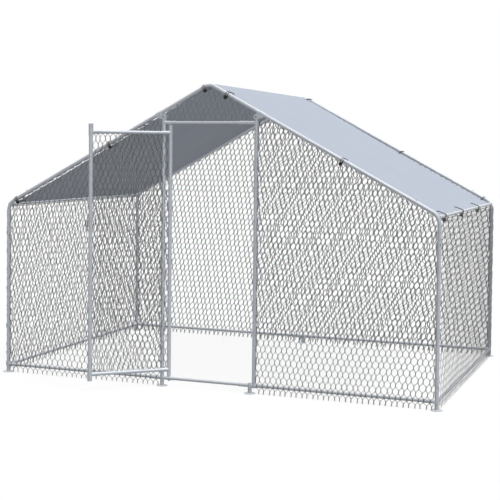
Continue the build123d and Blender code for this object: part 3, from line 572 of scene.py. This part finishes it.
cover_low, cover_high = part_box("roof_cover")
cover_over = cover_high.z - cover_thickness / 2 - ridge_rail.z
ridge_rise = ridge_rail.z - eave_rail.z
cover_steepening = math.asin(cover_over / math.hypot(eave_rail.x, ridge_rise))
cover_pitch = math.atan2(ridge_rise, eave_rail.x) + cover_steepening
cover_bend = cover_over * cover_pitch
cover_edge_x = cover_high.x - cover_thickness / 2 * math.sin(cover_pitch)
cover_half = cover_bend + (cover_edge_x - cover_over * math.sin(cover_pitch)) / math.cos(cover_pitch)
cover_length = 2 * cover_half
cover_width = cover_high.y - cover_low.y

finishes = {
    "galvanised_tube": galvanised(
        "galvanised_tube",
        dark=(0.66, 0.70, 0.77, 1),
        light=(0.81, 0.85, 0.91, 1),
        rough=0.42,
        metallic=0.10,
        flakes=120.0,
        dust_reach=0.12,
    ),
    "galvanised_fitting": galvanised(
        "galvanised_fitting",
        dark=(0.64, 0.68, 0.75, 1),
        light=(0.80, 0.84, 0.90, 1),
        rough=0.46,
        metallic=0.10,
        flakes=160.0,
        dust_reach=0.10,
    ),
    "zinc_fastener": galvanised(
        "zinc_fastener",
        dark=(0.12, 0.12, 0.13, 1),
        light=(0.22, 0.22, 0.23, 1),
        rough=0.34,
        metallic=0.35,
        flakes=420.0,
        dust_reach=0.06,
    ),
    "eyelet": galvanised(
        "eyelet",
        dark=(0.40, 0.40, 0.42, 1),
        light=(0.62, 0.62, 0.64, 1),
        rough=0.28,
        metallic=0.9,
        flakes=500.0,
        dust_reach=0.06,
    ),
    "netting_wire": netting_wire(),
    "cover_sheet": cover_sheet(
        "cover_top", dark=(0.445, 0.505, 0.61, 1), light=(0.495, 0.55, 0.655, 1), rough=0.42
    ),
    "tie_cord": elastic_cord(),
    "tie_ball": moulded_ball(),
}
cover_under = cover_sheet(
    "cover_underside", dark=(0.465, 0.51, 0.605, 1), light=(0.54, 0.59, 0.695, 1), rough=0.5
)

for name, node in nodes.items():
    for place in node.material_slots:
        place.material = finishes[slot_of[name]]


# Netting: zigzag wires, twisted together in pairs where they meet

def wire_ring(mesh):
    """Corner radius of a four-cornered wire with the section of a round one."""
    return mesh.wire_r * math.sqrt(math.pi / 2)


def twist_place(mesh, row, column):
    """Where a twist stands along its row."""
    shift = column_shift if (column + row // 2) % 2 == 0 else -column_shift
    return (column + row % 2 / 2) * mesh.width + shift


def strand(mesh, column, side):
    """Middle of one wire up a repeat, by turns in a twist of its own column and of the one beside it."""
    columns = [column if row % 2 == 0 or side > 0 else column - 1 for row in range(rows_in_repeat + 1)]
    points = []
    for row in range(rows_in_repeat):
        centre = twist_place(mesh, row, columns[row])
        phase = 0 if (side > 0) == (row % 2 == 0) else math.pi
        foot = row * mesh.row - twist_length / 2
        for quarter in range(twist_quarters + 1):
            angle = phase + quarter * math.pi / 2
            across = centre + twist_spread * mesh.wire_r * math.cos(angle)
            out = twist_spread * mesh.wire_r * math.sin(angle)
            points.append(Vector((across, out, foot + quarter * twist_length / twist_quarters)))
        start = points[-1]
        next_centre = twist_place(mesh, row + 1, columns[row + 1])
        end = Vector((next_centre - twist_spread * mesh.wire_r * math.cos(phase), 0, foot + mesh.row))
        for rise, share in slant_points:
            points.append(Vector((start.x + share * (end.x - start.x), 0, start.z + rise * (end.z - start.z))))
    points.append(points[0] + Vector((0, 0, rows_in_repeat * mesh.row)))
    return points


def add_array(piece, name, count, offset, merge):
    array = piece.modifiers.new(name, "ARRAY")
    array.use_relative_offset = False
    array.use_constant_offset = True
    array.constant_offset_displace = offset
    array.count = count
    array.use_merge_vertices = merge
    array.merge_threshold = 0.0001


def add_unevenness(piece, name, direction, size, amount, basis, mid_level=0.5, group=""):
    cloud = bpy.data.textures.new(name, "CLOUDS")
    cloud.noise_scale = size
    cloud.noise_basis = basis
    displace = piece.modifiers.new(name, "DISPLACE")
    displace.texture = cloud
    displace.texture_coords = "GLOBAL"
    displace.direction = direction
    displace.strength = amount
    displace.mid_level = mid_level
    displace.vertex_group = group


def flat_netting(name, wall, span, height, mesh, edges):
    """A flat stretch of netting in its wall's own X and Z, a little out of true and slack between its edges."""
    deselect_all()
    strands = [strand(mesh, column, side) for column in range(columns_in_repeat) for side in (1, -1)]
    bpy.ops.mesh.primitive_circle_add(vertices=4, radius=wire_ring(mesh), location=strands[0][0])
    piece = bpy.context.object
    piece.name = name
    piece.data.name = name
    bpy.ops.object.transform_apply(location=True, rotation=True, scale=True)
    edit(piece)
    bpy.ops.mesh.select_all(action="SELECT")
    for number, points in enumerate(strands):
        if number:
            bpy.ops.mesh.primitive_circle_add(vertices=4, radius=wire_ring(mesh), location=points[0])
        for start, end in zip(points, points[1:]):
            bpy.ops.mesh.extrude_region_move(TRANSFORM_OT_translate={"value": end - start})
    leave_edit()
    leans = (mesh.lean * height[0], mesh.lean * height[1])
    step_x, step_z = columns_in_repeat * mesh.width, rows_in_repeat * mesh.row
    first_column = math.floor((span[0] - max(leans)) / step_x) - 1
    columns = math.ceil((span[1] - min(leans)) / step_x) + 1 - first_column
    first_row = math.floor((height[0] - first_twist) / step_z)
    rows = math.ceil((height[1] - first_twist) / step_z) + 1 - first_row
    apply_place(piece, Matrix.Translation((first_column * step_x, 0, first_twist + first_row * step_z)))
    add_array(piece, "rows", rows, (0, 0, step_z), True)
    add_array(piece, "columns", columns, (step_x, 0, 0), False)
    apply_modifiers(piece)
    points = points_of(piece)
    points[:, 0] += mesh.lean * points[:, 2]
    set_points(piece, points)
    free = np.min([np.clip(-past(points, line) / net_taper, 0, 1) for line in edges], axis=0)
    slack = piece.vertex_groups.new(name="slack")
    levels = np.rint(free * taper_steps).astype(int)
    for level in range(1, taper_steps + 1):
        slack.add(np.flatnonzero(levels == level).tolist(), level / taper_steps, "REPLACE")
    piece.matrix_world = wall
    add_unevenness(piece, "pulled_across", "X", size=0.11, amount=0.014, basis="BLENDER_ORIGINAL")
    add_unevenness(piece, "pulled_up", "Z", size=0.13, amount=0.012, basis="ORIGINAL_PERLIN")
    add_unevenness(piece, "slack_up", "Z", size=0.60, amount=0.030, basis="BLENDER_ORIGINAL")
    add_unevenness(
        piece, "slack_out", "Y", size=0.35, amount=-0.010, basis="ORIGINAL_PERLIN", mid_level=0.0, group="slack"
    )
    apply_modifiers(piece)
    piece.vertex_groups.clear()
    piece.matrix_world = Matrix.Identity(4)
    return piece


def trim(piece, point, outward):
    edit(piece)
    bpy.ops.mesh.select_all(action="SELECT")
    bpy.ops.mesh.bisect(plane_co=point, plane_no=outward, clear_outer=True)
    leave_edit()


def past(points, line):
    point, outward = line
    return (points - np.array(point)) @ np.array(outward)


def fold_in(points, line):
    """Bends what lies past a line inwards, round the fold's radius."""
    run = past(points, line) + net_fold_r
    bent = run > 0
    turn = np.clip(run / net_fold_r, 0, math.pi / 2)
    straight = np.maximum(run - net_fold_r * math.pi / 2, 0)
    arm = net_fold_r - points[:, 1]
    across = np.where(bent, arm * np.sin(turn) - run, 0)
    inward = np.where(bent, net_fold_r - arm * np.cos(turn) + straight, points[:, 1])
    points += across[:, None] * np.array(line[1])
    points[:, 1] = inward


def netting(name, node, wall, span, height, mesh, folds=(), cuts=(), gaps=(), body="frame"):
    """A net on a wall. Its edge is folded in beside a tube at each fold, and cut straight at each cut."""
    piece = flat_netting(name, wall, span, height, mesh, [*folds, *cuts])
    for point, outward in folds:
        trim(piece, Vector(point) + Vector(outward) * net_return, outward)
    for point, outward in cuts:
        trim(piece, point, outward)
    middles = face_middles(piece)
    over = np.array([past(middles, line) > 0 for line in folds] or [np.zeros(len(middles), bool)])
    upright = np.array([abs(outward[0]) == 1 for point, outward in folds] or [False])
    dropped = over.sum(axis=0) > 1
    dropped |= over[upright].any(axis=0) & (middles[:, 2] < return_floor)
    for (low_x, low_z), (high_x, high_z) in gaps:
        beside = (middles[:, 0] > low_x) & (middles[:, 0] < high_x)
        dropped |= beside & (middles[:, 2] > low_z) & (middles[:, 2] < high_z)
    delete_faces(piece, dropped)
    points = points_of(piece)
    for line in folds:
        fold_in(points, line)
    set_points(piece, points)
    apply_place(piece, wall)
    middles = face_middles(piece)
    dropped = np.zeros(len(middles), bool)
    for place in ball_places:
        dropped |= np.linalg.norm(middles - np.array(place), axis=1) < ball_r + 2 * wire_ring(mesh)
    delete_faces(piece, dropped)
    edit(piece)
    bpy.ops.mesh.select_all(action="SELECT")
    bpy.ops.mesh.fill_holes(sides=0)
    bpy.ops.mesh.select_all(action="SELECT")
    bpy.ops.mesh.normals_make_consistent(inside=False)
    leave_edit()
    bpy.ops.object.shade_smooth()
    piece.data.materials.append(finishes["netting_wire"])
    return finish_piece(piece, body, "netting_wire", node)


def wall_place(x, y, turn):
    return Matrix.Translation((x, y, 0)) @ Matrix.Rotation(math.radians(turn), 4, "Z")


def stand_off(tube_r, mesh):
    """From a tube's axis to the middle of the net outside it."""
    return tube_r + twist_spread * mesh.wire_r + wire_ring(mesh) + net_clearance


front_wall = wall_place(0, -post_y - stand_off(post_r, front_right_mesh), 0)
rear_wall = wall_place(0, post_y + stand_off(post_r, rear_mesh), 180)
floor_cut = ((0, 0, net_floor), (0, 0, -1))
eave_bend_cut = 0.0335          # from the sharp corner of post and rafter, past the elbow's bend
peak_bend_cut = 0.0285
sharp_eave = rafter_z(post_x)
half_corner = (math.pi / 2 - pitch) / 2


def under_rafter(side):
    """The fold below the rafter on one side of the peak."""
    outward = (side * math.sin(pitch), 0, math.cos(pitch))
    return (-outward[0] * net_edge, 0, peak_z - outward[2] * net_edge), outward


def inside_eave_bend(side):
    """The cut across the corner where the post bends into the rafter."""
    outward = (side * math.cos(half_corner), 0, math.sin(half_corner))
    point = (
        side * post_x - outward[0] * eave_bend_cut,
        0,
        sharp_eave - outward[2] * eave_bend_cut,
    )
    return point, outward


peak_cut = ((0, 0, peak_z - peak_bend_cut), (0, 0, 1))
clamp_foot = clamp_low.z - clamp_gap
clamp_end = clamp_high.x + clamp_gap
clamp_ear = 0.026               # from the door post's axis


def front_panel(side, name, mesh):
    inner, outer = door_post_x + net_edge, post_x - net_edge
    span = sorted((side * inner, side * outer))
    gap = sorted((side * door_post_x, side * clamp_end))
    return netting(
        name,
        name,
        front_wall,
        span,
        (net_floor, rafter_z(inner)),
        mesh,
        [((side * inner, 0, 0), (-side, 0, 0)), ((side * outer, 0, 0), (side, 0, 0)), under_rafter(side)],
        [floor_cut, inside_eave_bend(side)],
        [((gap[0], clamp_foot), (gap[1], peak_z))],
    )


front_panel(-1, "front_left_net", front_left_mesh)
front_panel(1, "front_right_net", front_right_mesh)

over_door = door_post_x - clamp_ear
netting(
    "over_door_net",
    "over_door_net",
    front_wall,
    (-over_door, over_door),
    (header_z, peak_z),
    over_door_mesh,
    [((0, 0, header_z + net_edge - post_r + rail_r), (0, 0, -1)), under_rafter(-1), under_rafter(1)],
    [((-over_door, 0, 0), (-1, 0, 0)), ((over_door, 0, 0), (1, 0, 0)), peak_cut],
)

rear_edge = post_x - net_edge
for side, name in ((-1, "rear_net_right_half"), (1, "rear_net_left_half")):
    netting(
        name,
        "rear_net",
        rear_wall,
        sorted((0, side * rear_edge)),
        (net_floor, peak_z),
        rear_mesh,
        [((side * rear_edge, 0, 0), (side, 0, 0)), under_rafter(side)],
        [floor_cut, inside_eave_bend(side), peak_cut, ((0, 0, 0), (-side, 0, 0))],
    )

side_edge = post_y - net_edge
eave_fold = eave_rail.z - net_edge + post_r - rail_r - eave_fold_drop
for side, turn, name, mesh in ((1, 90, "right_net", right_mesh), (-1, -90, "left_net", left_mesh)):
    netting(
        name,
        name,
        wall_place(side * (post_x + stand_off(post_r, mesh)), 0, turn),
        (-post_y, post_y),
        (net_floor, eave_fold),
        mesh,
        [((0, 0, eave_fold), (0, 0, 1))],
        [floor_cut, ((-post_y, 0, 0), (-1, 0, 0)), ((post_y, 0, 0), (1, 0, 0))],
        [
            ((-post_y - 1, eave_fold), (-side_edge, eave_rail.z)),
            ((side_edge, eave_fold), (post_y + 1, eave_rail.z)),
        ],
    )

latch_collar_r = 0.0157
door_net_overrun = 0.004
netting(
    "door_net",
    "door_net",
    door_frame @ Matrix.Translation((0, -stand_off(latch_collar_r, door_mesh), 0)),
    (0, door_width),
    (door_bottom_z, door_top_z),
    door_mesh,
    (),
    [
        ((0, 0, 0), (-1, 0, 0)),
        ((door_width, 0, 0), (1, 0, 0)),
        ((0, 0, door_bottom_z - door_net_overrun), (0, 0, -1)),
        ((0, 0, door_top_z + door_net_overrun), (0, 0, 1)),
    ],
    body="door",
)


# Roof cover: one sheet over the ridge, drawn to the ties at its eyelets

def cover_point(s):
    """The sheet's place and its upward normal in X and Z, at a distance s across it from the ridge."""
    run = np.abs(s)
    side = np.sign(s)
    angle = np.minimum(run / cover_over, cover_pitch)
    straight = np.maximum(run - cover_bend, 0)
    x = cover_over * np.sin(angle) + straight * math.cos(cover_pitch)
    z = ridge_rail.z + cover_over * np.cos(angle) - straight * math.sin(cover_pitch)
    return side * x, z, side * np.sin(angle), np.cos(angle)


def across_cover(place):
    """Distance across the flat sheet, from the ridge, of a place on it."""
    run = (abs(place.x) - cover_over * math.sin(cover_pitch)) / math.cos(cover_pitch) + cover_bend
    return math.copysign(run, place.x)


def drawn_in(along, ties, ends):
    """How far an edge is drawn in between its ties."""
    stops = np.array(sorted([*ends, *ties]))
    bay = np.clip(np.searchsorted(stops, along) - 1, 0, len(stops) - 2)
    span = stops[bay + 1] - stops[bay]
    share = np.clip((along - stops[bay]) / span, 0, 1)
    return cover_scallop * np.minimum(span / scallop_span, scallop_limit) * 4 * share * (1 - share)


def roof_cover():
    """The sheet: bent over the ridge, slack on its slopes, drawn in between its ties and puckered at them."""
    deselect_all()
    bpy.ops.mesh.primitive_grid_add(x_subdivisions=sheet_cells[0], y_subdivisions=sheet_cells[1], size=1)
    sheet = bpy.context.object
    sheet.name = "roof_sheet"
    flat = points_of(sheet)
    s, y = flat[:, 0] * cover_length, flat[:, 1] * cover_width
    flat_ties = [(across_cover(place), place.y) for place in eyelet_places]
    half_width = cover_width / 2
    gable_ties = half_width - edge_reach
    eave_ties = cover_half - edge_reach
    front = drawn_in(s, [t for t, v in flat_ties if v < -gable_ties], (-cover_half, cover_half))
    rear = drawn_in(s, [t for t, v in flat_ties if v > gable_ties], (-cover_half, cover_half))
    left = drawn_in(y, [v for t, v in flat_ties if t < -eave_ties], (-half_width, half_width))
    right = drawn_in(y, [v for t, v in flat_ties if t > eave_ties], (-half_width, half_width))
    edge_y = np.where(y < 0, front, rear)
    edge_s = np.where(s < 0, left, right)
    new_y = y * (1 - edge_y / half_width * (np.abs(y) / half_width) ** scallop_fade)
    new_s = s * (1 - edge_s / cover_half * (np.abs(s) / cover_half) ** scallop_fade)
    x, z, normal_x, normal_z = cover_point(new_s)
    slope = np.clip((np.abs(s) - cover_bend) / (cover_half - cover_bend), 0, 1)
    along = sag_at_gables + (1 - sag_at_gables) * np.cos(np.pi * y / cover_width)
    lift = -cover_sag * np.sin(np.pi * slope) * along
    for tie_s, tie_y in flat_ties:
        reach = np.hypot(s - tie_s, y - tie_y)
        angle = np.arctan2(s - tie_s, y - tie_y)
        swell = np.exp(-reach / pucker_reach) * (1 - np.exp(-((reach / pucker_start) ** 2)))
        lift += cover_pucker * np.cos(pucker_folds * angle) * swell
    set_points(sheet, np.stack([x + lift * normal_x, new_y, z + lift * normal_z], axis=1))
    hem = sheet.vertex_groups.new(name="hem")
    inside = np.minimum(cover_half - np.abs(s), half_width - np.abs(y))
    hem.add(np.flatnonzero(inside < hem_width).tolist(), 1.0, "REPLACE")
    thickness = sheet.modifiers.new("thickness", "SOLIDIFY")
    thickness.thickness = cover_thickness
    thickness.offset = 0
    thickness.vertex_group = "hem"
    thickness.thickness_vertex_group = cover_field
    thickness.material_offset = 1
    sheet.data.materials.append(finishes["cover_sheet"])
    sheet.data.materials.append(cover_under)
    apply_modifiers(sheet)
    return sheet


def cut_eyelet_holes(sheet):
    deselect_all()
    cutters = []
    for place in eyelet_places:
        lean = math.copysign(cover_pitch, place.x)
        bpy.ops.mesh.primitive_cylinder_add(
            vertices=20, radius=eyelet_hole_r, depth=20 * cover_thickness, location=place, rotation=(0, lean, 0)
        )
        cutters.append(bpy.context.object)
    deselect_all()
    for cutter in cutters:
        cutter.select_set(True)
    bpy.context.view_layer.objects.active = cutters[0]
    bpy.ops.object.join()
    cutter = bpy.context.object
    holes = sheet.modifiers.new("eyelet_holes", "BOOLEAN")
    holes.operation = "DIFFERENCE"
    holes.object = cutter
    holes.solver = "EXACT"
    apply_modifiers(sheet)
    bpy.data.objects.remove(cutter)


sheet = roof_cover()
cut_eyelet_holes(sheet)
make_active(sheet)
bpy.ops.object.shade_smooth_by_angle(angle=math.radians(40))
finish_piece(sheet, "frame", "cover_sheet", "roof_cover")


# Ties: an elastic loop from a ball over the tube to an eyelet, through it and back under the tube into the ball

def around(radius, angle):
    return radius * np.array((math.cos(angle), math.sin(angle)))


class Tie:
    """One tie: a plane across the tube it holds on to, and its ball and eyelet in that plane."""

    def __init__(self, ball):
        self.ball = ball
        self.eyelet = min(eyelet_places, key=lambda place: (place - ball).length)
        side = math.copysign(1, ball.x)
        normal = Vector((side * math.sin(pitch), 0, math.cos(pitch)))
        slope = Vector((side * math.cos(pitch), 0, -math.sin(pitch)))
        if abs(ball.y) > post_y - rafter_reach:
            end = math.copysign(1, ball.y)
            self.along, self.inward, self.tube_r = slope, Vector((0, -end, 0)), post_r
            on_tube = Vector((0, end * post_y, peak_z))
        else:
            self.along, self.inward, self.tube_r = Vector((0, 1, 0)), -slope, rail_r
            on_tube = Vector((side * eave_rail.x, 0, eave_rail.z))
        self.outward = normal
        self.origin = on_tube + self.along * (ball - on_tube).dot(self.along)

    def flat(self, place):
        """A place in the tie's plane: inwards from the tube's axis, and up from it."""
        arm = place - self.origin
        return np.array((arm.dot(self.inward), arm.dot(self.outward)))

    def place(self, flat, beside):
        return self.origin + self.inward * flat[0] + self.outward * flat[1] + self.along * beside

    def hole_direction(self):
        """Out of the ball, to where the cord comes back under the tube."""
        return (self.eyelet - self.outward * under_eyelet - self.ball).normalized()

    def strand(self, side):
        """Control points of one of the loop's two strands, spread at the ball and together at the eyelet."""
        ball, eyelet = self.flat(self.ball), self.flat(self.eyelet)
        over, under = eyelet + (0, over_eyelet), eyelet - (0, under_eyelet)
        wrap_r = self.tube_r + cord_r + cord_clearance
        first = math.atan2(ball[1], ball[0]) % (2 * math.pi) - math.acos(wrap_r / np.linalg.norm(ball))
        last = math.atan2(over[1], over[0]) + math.acos(wrap_r / np.linalg.norm(over))
        half_turn = (first - last) / 4
        corner_r = wrap_r / math.cos(half_turn)
        corners = [around(corner_r, angle) for angle in (first - half_turn, last + half_turn)]
        touches = [around(wrap_r, angle) for angle in (first, last)]
        hole = ball + (under - ball) / np.linalg.norm(under - ball) * (ball_r - ball_hole_depth)
        route = [
            ball,
            2 * touches[0] - corners[0],
            corners[0],
            corners[1],
            2 * touches[1] - corners[1],
            over,
            under,
            under + (hole - under) * way_back,
            hole,
        ]
        return [self.place(flat, side * beside) for flat, beside in zip(route, strand_spread)]


ties = [Tie(ball) for ball in ball_places]


def elastic_loops():
    """Two smooth strands for each tie, in one mesh."""
    curve = bpy.data.curves.new("elastic_loops", "CURVE")
    curve.dimensions = "3D"
    curve.bevel_depth = cord_r
    curve.bevel_resolution = 2
    curve.resolution_u = 5
    curve.use_fill_caps = True
    for tie in ties:
        for side in (1, -1):
            points = tie.strand(side)
            line = curve.splines.new("NURBS")
            line.points.add(len(points) - 1)
            for control, point in zip(line.points, points):
                control.co = (*point, 1.0)
            line.order_u = 3
            line.use_endpoint_u = True
    loops = bpy.data.objects.new("elastic_loops", curve)
    bpy.context.scene.collection.objects.link(loops)
    make_active(loops)
    bpy.ops.object.convert(target="MESH")
    loops = bpy.context.object
    bpy.ops.object.shade_smooth_by_angle(angle=math.radians(50))
    loops.data.materials.append(finishes["tie_cord"])
    return finish_piece(loops, "frame", "tie_cord", "tie_loops")


def moulded_balls():
    """A ball with a cord hole at one pole and a faint parting line round its middle, copied to each tie."""
    deselect_all()
    bpy.ops.mesh.primitive_uv_sphere_add(segments=24, ring_count=14, radius=ball_r)
    ball = bpy.context.object
    points = points_of(ball)
    on_line = np.abs(points[:, 2]) < 1e-5
    points[on_line, :2] *= parting_line
    set_points(ball, points)
    delete_faces(ball, face_middles(ball)[:, 2] > math.sqrt(ball_r ** 2 - ball_hole_r ** 2))
    edit(ball, "EDGE")
    bpy.ops.mesh.select_all(action="DESELECT")
    bpy.ops.mesh.select_non_manifold()
    rim = max(points_of(ball)[:, 2])
    bpy.ops.mesh.extrude_region_move(TRANSFORM_OT_translate={"value": (0, 0, ball_r - ball_hole_depth - rim)})
    bpy.ops.mesh.edge_face_add()
    bpy.ops.mesh.select_all(action="SELECT")
    bpy.ops.mesh.normals_make_consistent(inside=False)
    leave_edit()
    bpy.ops.object.shade_smooth_by_angle(angle=math.radians(35))
    copies = []
    for tie in ties:
        copy = ball.copy()
        copy.data = ball.data.copy()
        bpy.context.scene.collection.objects.link(copy)
        turn = tie.hole_direction().to_track_quat("Z", "Y").to_matrix().to_4x4()
        apply_place(copy, Matrix.Translation(tie.ball) @ turn)
        copies.append(copy)
    bpy.data.objects.remove(ball)
    deselect_all()
    for copy in copies:
        copy.select_set(True)
    bpy.context.view_layer.objects.active = copies[0]
    bpy.ops.object.join()
    balls = bpy.context.object
    balls.name = "moulded_balls"
    balls.data.name = "moulded_balls"
    balls.data.materials.append(finishes["tie_ball"])
    return finish_piece(balls, "frame", "tie_ball", "tie_balls")


elastic_loops()
moulded_balls()


# Stage, light and camera

def seen_rays(tree):
    """True for a ray by which the camera sees, straight or in a reflection."""
    path = tree.nodes.new("ShaderNodeLightPath")
    seen = calculate(tree, "MAXIMUM", path.outputs["Is Camera Ray"], path.outputs["Is Glossy Ray"])
    return calculate(tree, "MAXIMUM", seen, path.outputs["Is Transmission Ray"])


def mix_shaders(tree, share, first, second):
    mixed = tree.nodes.new("ShaderNodeMixShader")
    tree.links.new(share, mixed.inputs[0])
    tree.links.new(first.outputs[0], mixed.inputs[1])
    tree.links.new(second.outputs[0], mixed.inputs[2])
    return mixed


def grey(level):
    return (level, level, level, 1)


def studio_white():
    """A white floor, of which the camera sees mostly a white of its own, so that shadows on it stay faint."""
    material, tree, shader = start_material("studio_white")
    connect(tree, shader, Base_Color=grey(floor_bounce), Roughness=0.9, Specular_IOR_Level=0.0)
    lit = add_node(tree, "ShaderNodeBsdfDiffuse", {"Color": grey(floor_shade)})
    white = add_node(tree, "ShaderNodeEmission", {"Color": grey(1.0), "Strength": floor_white})
    shown = tree.nodes.new("ShaderNodeAddShader")
    tree.links.new(lit.outputs[0], shown.inputs[0])
    tree.links.new(white.outputs[0], shown.inputs[1])
    mixed = mix_shaders(tree, seen_rays(tree), shader, shown)
    output = next(node for node in tree.nodes if node.type == "OUTPUT_MATERIAL")
    tree.links.new(mixed.outputs[0], output.inputs["Surface"])
    return material


deselect_all()
bpy.ops.mesh.primitive_plane_add(size=floor_size, location=(0, 0, -floor_drop))
floor = bpy.context.object
floor.name = "floor"
floor.data.materials.append(studio_white())

world = bpy.data.worlds.new("studio")
bpy.context.scene.world = world
world.use_nodes = True
tree = world.node_tree
tree.nodes.clear()
ambient = add_node(tree, "ShaderNodeBackground", {"Color": grey(1.0), "Strength": ambient_light})
backdrop = add_node(tree, "ShaderNodeBackground", {"Color": grey(1.0), "Strength": 1.0})
sky = tree.nodes.new("ShaderNodeOutputWorld")
tree.links.new(mix_shaders(tree, seen_rays(tree), ambient, backdrop).outputs[0], sky.inputs["Surface"])


def add_sun(name, towards, energy, spread, shadows=True):
    """A sun that stands in a direction. One without shadows is light that reaches in under the cover."""
    light = bpy.data.lights.new(name, "SUN")
    light.energy = energy
    light.angle = math.radians(spread)
    light.use_shadow = shadows
    sun = bpy.data.objects.new(name, light)
    bpy.context.scene.collection.objects.link(sun)
    sun.rotation_euler = Vector(towards).to_track_quat("Z", "Y").to_euler()


add_sun("key", sun_direction, energy=0.60, spread=14)
add_sun("sky_glow", sun_direction, energy=1.45, spread=14, shadows=False)
add_sun("fill", front_direction, energy=0.50, spread=20, shadows=False)

camera_place = (2.82592, -7.69685, 1.54410)
camera_yaw = 0.36257            # from +Y towards -X
camera_pitch = -0.03521
camera_roll = 0.01041
focal_pixels = 1138.005
image_pixels = 500
horizon_pixel = 190             # row that the lens axis passes through

forward = Vector(
    (
        -math.sin(camera_yaw) * math.cos(camera_pitch),
        math.cos(camera_yaw) * math.cos(camera_pitch),
        math.sin(camera_pitch),
    )
)
level_right = forward.cross(Vector((0, 0, 1))).normalized()
level_up = level_right.cross(forward)
right = math.cos(camera_roll) * level_right + math.sin(camera_roll) * level_up
up = -math.sin(camera_roll) * level_right + math.cos(camera_roll) * level_up
lens = bpy.data.cameras.new("camera")
lens.sensor_width = 36.0
lens.lens = focal_pixels / image_pixels * lens.sensor_width
lens.shift_y = (horizon_pixel - image_pixels / 2) / image_pixels
lens.clip_end = 200.0
camera = bpy.data.objects.new("camera", lens)
bpy.context.scene.collection.objects.link(camera)
camera.matrix_world = Matrix.Translation(camera_place) @ Matrix((right, up, -forward)).transposed().to_4x4()
bpy.context.scene.camera = camera
bpy.context.scene.view_settings.view_transform = "Standard"
